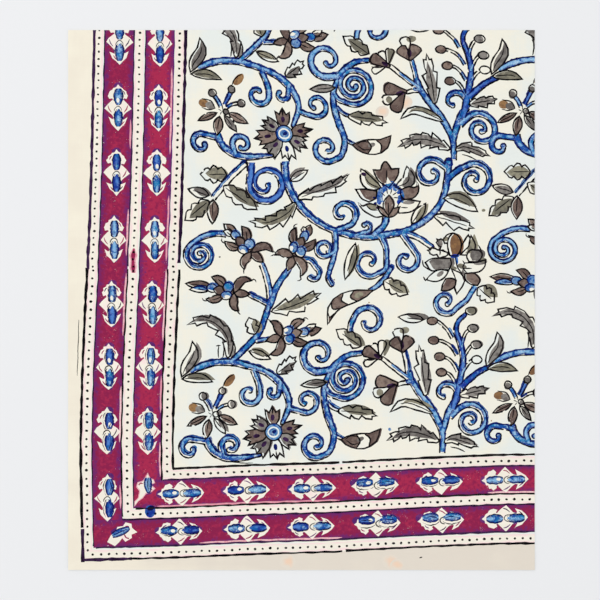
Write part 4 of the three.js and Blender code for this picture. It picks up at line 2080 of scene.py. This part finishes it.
@dataclass(frozen=True)
class Wiring:
    """Adds and links nodes in one node tree."""

    tree: bpy.types.NodeTree

    def node(self, kind: str, inputs: dict | None = None, **settings: object) -> bpy.types.Node:
        """Adds a node.

        Args:
            kind: Blender's name of the node type.
            inputs: Values or sockets for its inputs, by name or number.
            settings: Its own properties.

        Returns:
            The node.
        """
        node = self.tree.nodes.new(kind)
        for name, value in settings.items():
            setattr(node, name, value)
        for key, value in (inputs or {}).items():
            if isinstance(value, bpy.types.NodeSocket):
                self.tree.links.new(value, node.inputs[key])
            else:
                node.inputs[key].default_value = value
        return node

    def maths(self, operation: str, *terms: object) -> bpy.types.NodeSocket:
        """Adds a Math node and gives its result."""
        return self.node("ShaderNodeMath", dict(enumerate(terms)), operation=operation).outputs[0]

    def ramp(self, value: object, low: object, high: float) -> bpy.types.NodeSocket:
        """Spreads a value smoothly from 0 at one level to 1 at another."""
        inputs = {"Value": value, "From Min": low, "From Max": high}
        return self.node("ShaderNodeMapRange", inputs, interpolation_type="SMOOTHSTEP").outputs[0]

    def noise(self, place: object, scale: object, detail: float = 2.0) -> bpy.types.NodeSocket:
        """Adds a noise texture over a place and gives its value."""
        inputs = {"Vector": place, "Scale": scale, "Detail": detail}
        return self.node("ShaderNodeTexNoise", inputs).outputs["Fac"]

    def blend(self, share: object, first: object, second: object) -> bpy.types.NodeSocket:
        """Mixes two colours by a share."""
        inputs = {0: share, 6: first, 7: second}
        return self.node("ShaderNodeMix", inputs, data_type="RGBA").outputs[2]


def shader_group(
    name: str, takes: dict[str, object], gives: dict[str, str]
) -> tuple[Wiring, bpy.types.Node, bpy.types.Node]:
    """Starts a shader node group with named sockets.

    Args:
        name: Its name.
        takes: Its inputs, with a number or a colour as the usual value of each.
        gives: Its outputs, with the kind of each.

    Returns:
        Its wiring, its input node and its output node.
    """
    tree = bpy.data.node_groups.new(name, "ShaderNodeTree")
    for label, usual in takes.items():
        kind = "NodeSocketColor" if isinstance(usual, tuple) else "NodeSocketFloat"
        tree.interface.new_socket(label, in_out="INPUT", socket_type=kind).default_value = usual
    for label, kind in gives.items():
        tree.interface.new_socket(label, in_out="OUTPUT", socket_type=kind)
    wiring = Wiring(tree)
    return wiring, wiring.node("NodeGroupInput"), wiring.node("NodeGroupOutput")


def weave_group() -> bpy.types.NodeTree:
    """Builds the plain weave: threads that pass over and under each other.

    Returns:
        A group with the height of the threads and their unevenness.
    """
    wiring, takes, gives = shader_group(
        "plain_weave",
        {"Thread Pitch": 0.00045, "Slub": 0.35},
        {"Height": "NodeSocketFloat", "Streak": "NodeSocketFloat"},
    )
    place = wiring.node("ShaderNodeNewGeometry").outputs["Position"]
    sway = wiring.noise(place, 300.0)
    axes = wiring.node("ShaderNodeSeparateXYZ", {0: place})
    turns = []
    for label in ("X", "Y"):
        drifted = wiring.maths("MULTIPLY_ADD", sway, THREAD_SWAY, axes.outputs[label])
        count = wiring.maths("DIVIDE", drifted, takes.outputs["Thread Pitch"])
        turns.append(wiring.maths("SINE", wiring.maths("MULTIPLY", count, math.pi)))
    over = wiring.maths("GREATER_THAN", wiring.maths("MULTIPLY", turns[0], turns[1]), 0.0)
    warp = wiring.maths("ABSOLUTE", turns[0])
    weft = wiring.maths("ABSOLUTE", turns[1])
    height = wiring.maths("MULTIPLY", warp, over)
    under = wiring.maths("MULTIPLY", weft, wiring.maths("SUBTRACT", 1.0, over))
    streaks = []
    for stretch in ((1.0, 0.06, 1.0), (0.06, 1.0, 1.0)):
        along = wiring.node("ShaderNodeVectorMath", {0: place, 1: stretch}, operation="MULTIPLY")
        streaks.append(wiring.noise(along.outputs[0], 900.0))
    streak = wiring.maths("MULTIPLY", wiring.maths("ADD", streaks[0], streaks[1]), 0.5)
    slub = wiring.maths("MULTIPLY", streak, takes.outputs["Slub"])
    threads = wiring.maths("ADD", height, under)
    wiring.tree.links.new(wiring.maths("ADD", threads, slub), gives.inputs["Height"])
    wiring.tree.links.new(streak, gives.inputs["Streak"])
    return wiring.tree


def dye_group() -> bpy.types.NodeTree:
    """Builds the uneven take of a dye: light and dark blotches, and a darker rim, which on the bare margin
    is painted shade.

    Returns:
        A group with the dyed colour.
    """
    wiring, takes, gives = shader_group(
        "hand_dye",
        {
            "Light": (1.0, 1.0, 1.0, 1.0),
            "Middle": (0.5, 0.5, 0.5, 1.0),
            "Cast": (0.5, 0.5, 0.5, 1.0),
            "Rim": (0.0, 0.0, 0.0, 1.0),
            "Depth": 0.5,
            "Tone": 0.5,
            "Streak": 0.5,
            "Blotch Scale": 300.0,
            "Blotch": 0.5,
            "Rim Start": 0.35,
            "Hollow": 0.2,
        },
        {"Color": "NodeSocketColor"},
    )
    place = wiring.node("ShaderNodeNewGeometry").outputs["Position"]
    blotch = wiring.noise(place, takes.outputs["Blotch Scale"], 3.0)
    spread = wiring.maths("SUBTRACT", blotch, 0.5)
    grain = wiring.maths("MULTIPLY", wiring.maths("SUBTRACT", takes.outputs["Streak"], 0.5), 0.2)
    uneven = wiring.maths("MULTIPLY", wiring.maths("ADD", spread, grain), takes.outputs["Blotch"])
    lean = wiring.maths("MULTIPLY_ADD", takes.outputs["Tone"], 0.8, 0.06)
    shallow = wiring.maths("SUBTRACT", 0.5, takes.outputs["Depth"])
    hollow = wiring.maths("MULTIPLY", shallow, takes.outputs["Hollow"])
    blotched = wiring.maths("MULTIPLY", uneven, 5.0)
    light_share = wiring.maths("ADD", blotched, wiring.maths("ADD", lean, hollow))
    drift = wiring.noise(place, wiring.maths("MULTIPLY", takes.outputs["Blotch Scale"], 0.7), 1.0)
    middle = wiring.blend(wiring.ramp(drift, 0.48, 0.62), takes.outputs["Middle"], takes.outputs["Cast"])
    body = wiring.blend(wiring.ramp(light_share, 0.0, 1.0), middle, takes.outputs["Light"])
    ragged = wiring.maths("ADD", takes.outputs["Depth"], wiring.maths("MULTIPLY", spread, 1.4))
    rim_share = wiring.ramp(ragged, takes.outputs["Rim Start"], 1.0)
    coloured = wiring.blend(rim_share, body, takes.outputs["Rim"])
    wiring.tree.links.new(coloured, gives.inputs["Color"])
    return wiring.tree


def wear_group() -> bpy.types.NodeTree:
    """Builds the small bare specks that a dry block leaves.

    Returns:
        A group with the mask of the specks.
    """
    wiring, takes, gives = shader_group("dry_specks", {"Amount": 0.3}, {"Mask": "NodeSocketFloat"})
    place = wiring.node("ShaderNodeNewGeometry").outputs["Position"]
    fine = wiring.noise(place, 1500.0, 1.0)
    coarse = wiring.noise(place, 160.0, 2.0)
    both = wiring.maths("ADD", wiring.maths("MULTIPLY", fine, 0.6), wiring.maths("MULTIPLY", coarse, 0.4))
    edge = wiring.maths("SUBTRACT", 0.72, wiring.maths("MULTIPLY", takes.outputs["Amount"], 0.25))
    mask = wiring.node("ShaderNodeMapRange", {"Value": both, "From Min": edge, "From Max": 0.75})
    wiring.tree.links.new(mask.outputs[0], gives.inputs["Mask"])
    return wiring.tree


@dataclass(frozen=True)
class Finish:
    """How one dye looks on the cotton. Colours are screen levels from 0 to 255."""

    dye: Dye
    light: tuple[int, int, int]
    middle: tuple[int, int, int]
    rim: tuple[int, int, int]
    blotch: float = 0.5
    blotch_scale: float = 300.0
    wear: float = 0.25
    ground: tuple[int, int, int] = (242, 242, 234)
    rim_start: float = 0.35
    hollow: float = 0.2
    cast: tuple[int, int, int] | None = None
    roughness: float = 0.9

    def soaked(self) -> "Finish":
        """Gives the paler look of the dye on the underside.

        Returns:
            The finish of what soaks through.
        """

        def fade(colour: tuple[int, int, int]) -> tuple[int, int, int]:
            """Mixes a colour with the bare cotton."""
            share = SOAKED_SHARE
            return tuple(round(share * a + (1 - share) * b) for a, b in zip(colour, self.ground))

        light, middle, rim = fade(self.light), fade(self.middle), fade(self.rim)
        return replace(self, light=light, middle=middle, rim=rim, wear=SOAKED_WEAR)

    def material(self, groups: dict[str, bpy.types.NodeTree], suffix: str = "") -> bpy.types.Material:
        """Builds the material.

        Args:
            groups: The shared shader groups by name.
            suffix: Ending of its name.

        Returns:
            The material.
        """
        material = bpy.data.materials.new(self.dye.value + suffix)
        material.use_nodes = True
        material.node_tree.nodes.clear()
        wiring = Wiring(material.node_tree)
        weave = wiring.node("ShaderNodeGroup", node_tree=groups["weave"])
        depth = wiring.node("ShaderNodeAttribute", attribute_name="dye_depth").outputs["Fac"]
        tone = wiring.node("ShaderNodeAttribute", attribute_name="dye_tone").outputs["Fac"]
        inputs = {
            "Light": srgb(*self.light),
            "Middle": srgb(*self.middle),
            "Cast": srgb(*(self.cast or self.middle)),
            "Rim": srgb(*self.rim),
            "Depth": depth,
            "Tone": tone,
            "Streak": weave.outputs["Streak"],
            "Blotch Scale": self.blotch_scale,
            "Blotch": self.blotch,
            "Rim Start": self.rim_start,
            "Hollow": self.hollow,
        }
        dyed = wiring.node("ShaderNodeGroup", inputs, node_tree=groups["dye"])
        specks = wiring.node("ShaderNodeGroup", {"Amount": self.wear}, node_tree=groups["wear"])
        colour = wiring.blend(specks.outputs["Mask"], dyed.outputs["Color"], srgb(*self.ground))
        threads = {"Height": weave.outputs["Height"], "Strength": 0.5, "Distance": THREAD_HEIGHT}
        bump = wiring.node("ShaderNodeBump", threads)
        surface = wiring.node(
            "ShaderNodeBsdfPrincipled",
            {
                "Base Color": colour,
                "Roughness": self.roughness,
                "Normal": bump.outputs["Normal"],
                "Specular IOR Level": 0.05,
            },
        )
        output = wiring.node("ShaderNodeOutputMaterial", {"Surface": surface.outputs["BSDF"]})
        output.is_active_output = True
        return material


FINISHES = (
    Finish(Dye.FIELD, (249, 242, 222), (234, 239, 235), (240, 240, 232), 0.7, 24.0, 0.0),
    # The margin's darker rim colour is painted shade that greys the lower margin.
    Finish(Dye.MARGIN, (250, 244, 226), (243, 235, 218), (230, 221, 208), 0.5, 30.0, 0.0, rim_start=0.15),
    Finish(Dye.STRIP, (250, 244, 230), (244, 238, 224), (252, 224, 224), 0.5, 120.0, 0.0, rim_start=0.45),
    Finish(Dye.BLUSH, (250, 216, 216), (228, 150, 168), (230, 150, 170), 0.6, 500.0, 0.1),
    Finish(Dye.CRIMSON, (172, 46, 82), (142, 36, 78), (112, 42, 106), 0.7, 420.0, 0.2, rim_start=0.5),
    Finish(Dye.OLIVE, (162, 157, 136), (114, 111, 99), (100, 96, 84), 0.9, 220.0, 0.2),
    Finish(Dye.TAUPE, (156, 151, 145), (104, 99, 96), (92, 88, 86), 0.9, 220.0, 0.2),
    Finish(Dye.MAUVE, (154, 136, 124), (100, 83, 78), (88, 72, 70), 0.9, 220.0, 0.2),
    Finish(Dye.OCHRE, (172, 134, 90), (122, 90, 66), (118, 84, 58), 0.8, 300.0, 0.2),
    Finish(Dye.INDIGO, (134, 184, 226), (28, 82, 164), (14, 34, 118), 1.2, 320.0, 0.7, (214, 230, 242),
        rim_start=0.26, hollow=0.5, cast=(40, 126, 182)),
    Finish(Dye.DEEP, (84, 130, 204), (28, 56, 150), (18, 26, 104), 0.9, 260.0, 0.4, (190, 214, 238),
        rim_start=0.4, hollow=0.4, cast=(26, 96, 172)),
    Finish(Dye.VIOLET, (124, 58, 122), (88, 40, 108), (80, 36, 100), 0.9, 240.0, 0.1),
    Finish(Dye.STAIN, (244, 212, 186), (242, 214, 190), (232, 223, 210), 0.8, 200.0, 0.0, rim_start=0.0),
    Finish(Dye.INK, (36, 30, 32), (8, 8, 12), (8, 8, 12), 0.6, 240.0, 0.15, (150, 142, 138)),
    Finish(Dye.NAVY, (16, 36, 116), (8, 14, 66), (8, 14, 66), 0.6, 240.0, 0.08, (110, 130, 180)),
    Finish(Dye.PLUM, (70, 44, 84), (34, 16, 42), (34, 16, 42), 0.7, 240.0, 0.15, (150, 120, 140)),
)


@dataclass(frozen=True)
class Cloth:
    """The printed sheet: a thin slab on the soft ripples of the solid, in millimetres."""

    width: float
    length: float
    thickness: float = 1.0

    @classmethod
    def over(cls, node: str) -> "Cloth":
        """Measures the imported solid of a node."""
        low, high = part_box(node)
        return cls((high[0] - low[0]) / MM, (high[1] - low[1]) / MM)

    @property
    def half(self) -> np.ndarray:
        """Gives half of the width and of the length."""
        return np.array([self.width, self.length]) / 2

    def printed(self) -> Print:
        """Prints the border and the four blocks of the field.

        Returns:
            The print.
        """
        sheet = Print(self.width, self.length)
        border = Press(sheet, Stamp(seed=3))
        self.print_margin(border)
        Border().print_on(border)
        block = FlowerBlock()
        for stamp in STAMPS:
            block.print_on(Press(sheet, stamp))
        return sheet

    def print_margin(self, press: Press) -> None:
        """Marks the bare margin outside the outermost rules, which the washing left yellower, and greys it
        with distance from the cloth's left edge as painted shade, so that most of the lower margin is
        darker.

        Args:
            press: The press.
        """
        left = along_border(Side.LEFT, LEFT_LINES["rule"], np.linspace(-70, 336, 12))
        lower = along_border(Side.BOTTOM, LOWER_LINES["rule"], np.linspace(-66, 278, 10))
        beyond_left = np.array([(-120.0, 336.0), (-120.0, -120.0)])
        beyond_low = np.array([(278.0, -120.0)])
        outline = np.vstack([left[::-1], lower, beyond_low, beyond_left[::-1]])
        # The margin greys with distance from this line along the cloth's left edge: painted shade, darkest
        # over most of the lower margin.
        edge = np.array([(-79.0, -90.0), (-79.0, 340.0)])
        halves = np.full(2, 130.0)
        press.colour(outline, Dye.MARGIN, Layer.BAND - 1, spine=edge, halves=halves, rim=130.0)

    def build(self, groups: dict[str, bpy.types.NodeTree]) -> bpy.types.Object:
        """Builds and dresses the sheet.

        Args:
            groups: The shared shader groups by name.

        Returns:
            The finished piece.
        """
        sheet = self.printed()
        cutter = Cutter(sheet)
        face = cutter.cut(sheet.patches)
        rim = face.rim()
        through = [shape.soaked() for shape in sheet.patches if shape.soaks()]
        back = cutter.cut(through, face.points[rim])
        counts = (len(sheet.patches), len(face.triangles), len(back.triangles))
        log.info("print: %d shapes, face %d triangles, back %d", *counts)
        mesh = self.mesh(face, rim, back)
        piece = bpy.data.objects.new("printed_cloth", mesh)
        bpy.context.scene.collection.objects.link(piece)
        for finish in FINISHES:
            mesh.materials.append(finish.material(groups))
        for finish in FINISHES:
            mesh.materials.append(finish.soaked().material(groups, "_back"))
        return piece

    def mesh(self, face: CutFace, rim: list[int], back: CutFace) -> bpy.types.Mesh:
        """Joins the face, the underside and the cut edge into one closed mesh.

        Args:
            face: The printed face.
            rim: Numbers of its outermost points.
            back: The underside, seen from above.

        Returns:
            The mesh, in metres.
        """
        back_rim = back.rim()
        if len(back_rim) != len(rim):
            raise ValueError(f"the face has {len(rim)} edge points and the underside {len(back_rim)}")
        offset = len(face.points)
        start = int(np.argmin(np.linalg.norm(back.points[back_rim] - face.points[rim[0]], axis=1)))
        back_rim = back_rim[start:] + back_rim[:start]
        top = np.column_stack([face.points, lift_at(face.points) + self.thickness])
        low = np.column_stack([back.points, lift_at(back.points)])
        walls = []
        for here in range(len(rim)):
            there = (here + 1) % len(rim)
            a, b = rim[here], rim[there]
            c, d = back_rim[here] + offset, back_rim[there] + offset
            walls.append((c, d, b, a))
        polygons = [*map(tuple, face.triangles.tolist()), *walls]
        polygons += [(a + offset, c + offset, b + offset) for a, b, c in back.triangles.tolist()]
        mesh = bpy.data.meshes.new("printed_cloth")
        mesh.from_pydata((np.vstack([top, low]) * MM).tolist(), [], polygons)
        slots = np.concatenate([face.dyes, np.zeros(len(walls), int), back.dyes + len(DYES)])
        mesh.polygons.foreach_set("material_index", slots.astype(np.int32))
        mesh.polygons.foreach_set("use_smooth", np.ones(len(slots), bool))
        flipped = back.depths[:, [0, 2, 1]]
        depths = np.concatenate([face.depths.ravel(), np.full(4 * len(walls), 0.5), flipped.ravel()])
        tones = np.concatenate([face.tones, np.full(len(walls), 0.5), back.tones])
        for name, domain, values in (("dye_depth", "CORNER", depths), ("dye_tone", "FACE", tones)):
            attribute = mesh.attributes.new(name, "FLOAT", domain)
            attribute.data.foreach_set("value", values.astype(np.float32))
        first_wall = len(face.triangles) * 3
        wall = slice(first_wall, first_wall + len(walls) * 4)
        at = self.corner_places(mesh)
        self.unwrap(mesh, at, wall)
        self.set_normals(mesh, at, wall)
        mesh.validate()
        return mesh

    @staticmethod
    def corner_places(mesh: bpy.types.Mesh) -> np.ndarray:
        """Reads where the corners of all polygons are.

        Args:
            mesh: The sheet's mesh.

        Returns:
            Places in millimetres, first those of the face, then of the cut edge, then of the underside.
        """
        spots = np.empty(len(mesh.vertices) * 3)
        mesh.vertices.foreach_get("co", spots)
        corners = np.empty(len(mesh.loops), int)
        mesh.loops.foreach_get("vertex_index", corners)
        return (spots.reshape(-1, 3) / MM)[corners]

    def unwrap(self, mesh: bpy.types.Mesh, at: np.ndarray, wall: slice) -> None:
        """Lays the face, its cut edge and the underside flat on one map.

        Args:
            mesh: The sheet's mesh.
            at: Places of the polygons' corners.
            wall: Which of them are on the cut edge.
        """
        size = self.length + 2 * MAP_MARGIN
        flat = (at[:, :2] + self.half + MAP_MARGIN) / size
        outward = np.sign(at[wall, :2]) * (np.abs(np.abs(at[wall, :2]) - self.half) < 0.01)
        lower = (at[wall, 2] - lift_at(at[wall, :2]) < self.thickness / 2)[:, None]
        flat[wall] += outward * lower * (self.thickness / size)
        back = (at[wall.stop :, :2] + self.half) * BACK_MAP_WIDTH / self.width
        flat[wall.stop :] = np.array(BACK_MAP_CORNER) + back
        layer = mesh.uv_layers.new(name="OFBake")
        layer.data.foreach_set("uv", flat.ravel().astype(np.float32))

    def set_normals(self, mesh: bpy.types.Mesh, at: np.ndarray, wall: slice) -> None:
        """Gives every corner the true normal of the rippled surface.

        Args:
            mesh: The sheet's mesh.
            at: Places of the polygons' corners.
            wall: Which of them are on the cut edge.
        """
        flat = at[:, :2]
        reach = 0.5
        slope_x = (lift_at(flat + [reach, 0]) - lift_at(flat - [reach, 0])) / (2 * reach)
        slope_y = (lift_at(flat + [0, reach]) - lift_at(flat - [0, reach])) / (2 * reach)
        normals = np.column_stack([-slope_x, -slope_y, np.ones(len(flat))])
        normals /= np.linalg.norm(normals, axis=1, keepdims=True)
        side = np.where(np.abs(flat[wall]) / self.half > 0.9999, np.sign(flat[wall]), 0.0)
        side = np.column_stack([side, np.zeros(len(side))])
        normals[wall] = side / np.maximum(np.linalg.norm(side, axis=1, keepdims=True), 1e-9)
        normals[wall.stop :] *= -1
        mesh.normals_split_custom_set(normals.tolist())


@dataclass(frozen=True)
class Studio:
    """A pale floor, soft light and the camera straight above the cloth."""

    span: float = 0.45
    lens: float = 85.0
    sensor: float = 36.0
    shift_x: float = -0.0011
    floor_size: float = 4.0

    def floor(self) -> bpy.types.Object:
        """Builds the floor.

        Returns:
            The floor.
        """
        half = self.floor_size / 2
        mesh = bpy.data.meshes.new("floor")
        corners = [(-half, -half, 0), (half, -half, 0), (half, half, 0), (-half, half, 0)]
        mesh.from_pydata(corners, [], [(0, 1, 2, 3)])
        floor = bpy.data.objects.new("floor", mesh)
        bpy.context.scene.collection.objects.link(floor)
        material = bpy.data.materials.new("floor_paint")
        material.use_nodes = True
        surface = material.node_tree.nodes["Principled BSDF"]
        surface.inputs["Base Color"].default_value = srgb(*FLOOR_PAINT)
        surface.inputs["Roughness"].default_value = 0.95
        surface.inputs["Specular IOR Level"].default_value = 0.1
        mesh.materials.append(material)
        return floor

    def light(self) -> None:
        """Adds even daylight with one soft key light from the upper left."""
        world = bpy.data.worlds.new("studio")
        world.use_nodes = True
        sky = world.node_tree.nodes["Background"]
        sky.inputs["Color"].default_value = (1.0, 1.0, 1.0, 1.0)
        sky.inputs["Strength"].default_value = 0.9
        bpy.context.scene.world = world
        lamp = bpy.data.lights.new("key", "AREA")
        lamp.shape = "SQUARE"
        lamp.size = 1.6
        lamp.energy = 10.0
        key = bpy.data.objects.new("key", lamp)
        key.location = (-1.3, 1.1, 1.9)
        key.rotation_euler = Vector(key.location).to_track_quat("Z", "Y").to_euler()
        bpy.context.scene.collection.objects.link(key)

    def camera(self, height: float) -> bpy.types.Object:
        """Sets the camera straight above the cloth.

        Args:
            height: Height of the printed face.

        Returns:
            The camera.
        """
        data = bpy.data.cameras.new("camera")
        data.lens = self.lens
        data.sensor_width = self.sensor
        camera = bpy.data.objects.new("camera", data)
        camera.location = (self.shift_x, 0.0, height + self.span * self.lens / self.sensor)
        bpy.context.scene.collection.objects.link(camera)
        bpy.context.scene.camera = camera
        return camera


def main() -> None:
    """Builds the cloth and its studio, and reports each piece."""
    logging.basicConfig(level=logging.INFO, format="%(name)s: %(message)s")
    bpy.context.scene.view_settings.view_transform = "Standard"
    studio = Studio()
    studio.camera(FACE_HEIGHT)
    studio.light()
    studio.floor()
    log.info("studio: floor, light and camera")
    groups = {"weave": weave_group(), "dye": dye_group(), "wear": wear_group()}
    cloth = Cloth.over("cloth")
    piece = cloth.build(groups)
    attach(piece, "root")
    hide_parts("cloth")
    log.info("%s: %d polygons", piece.name, len(piece.data.polygons))


if __name__ == "__main__":
    main()
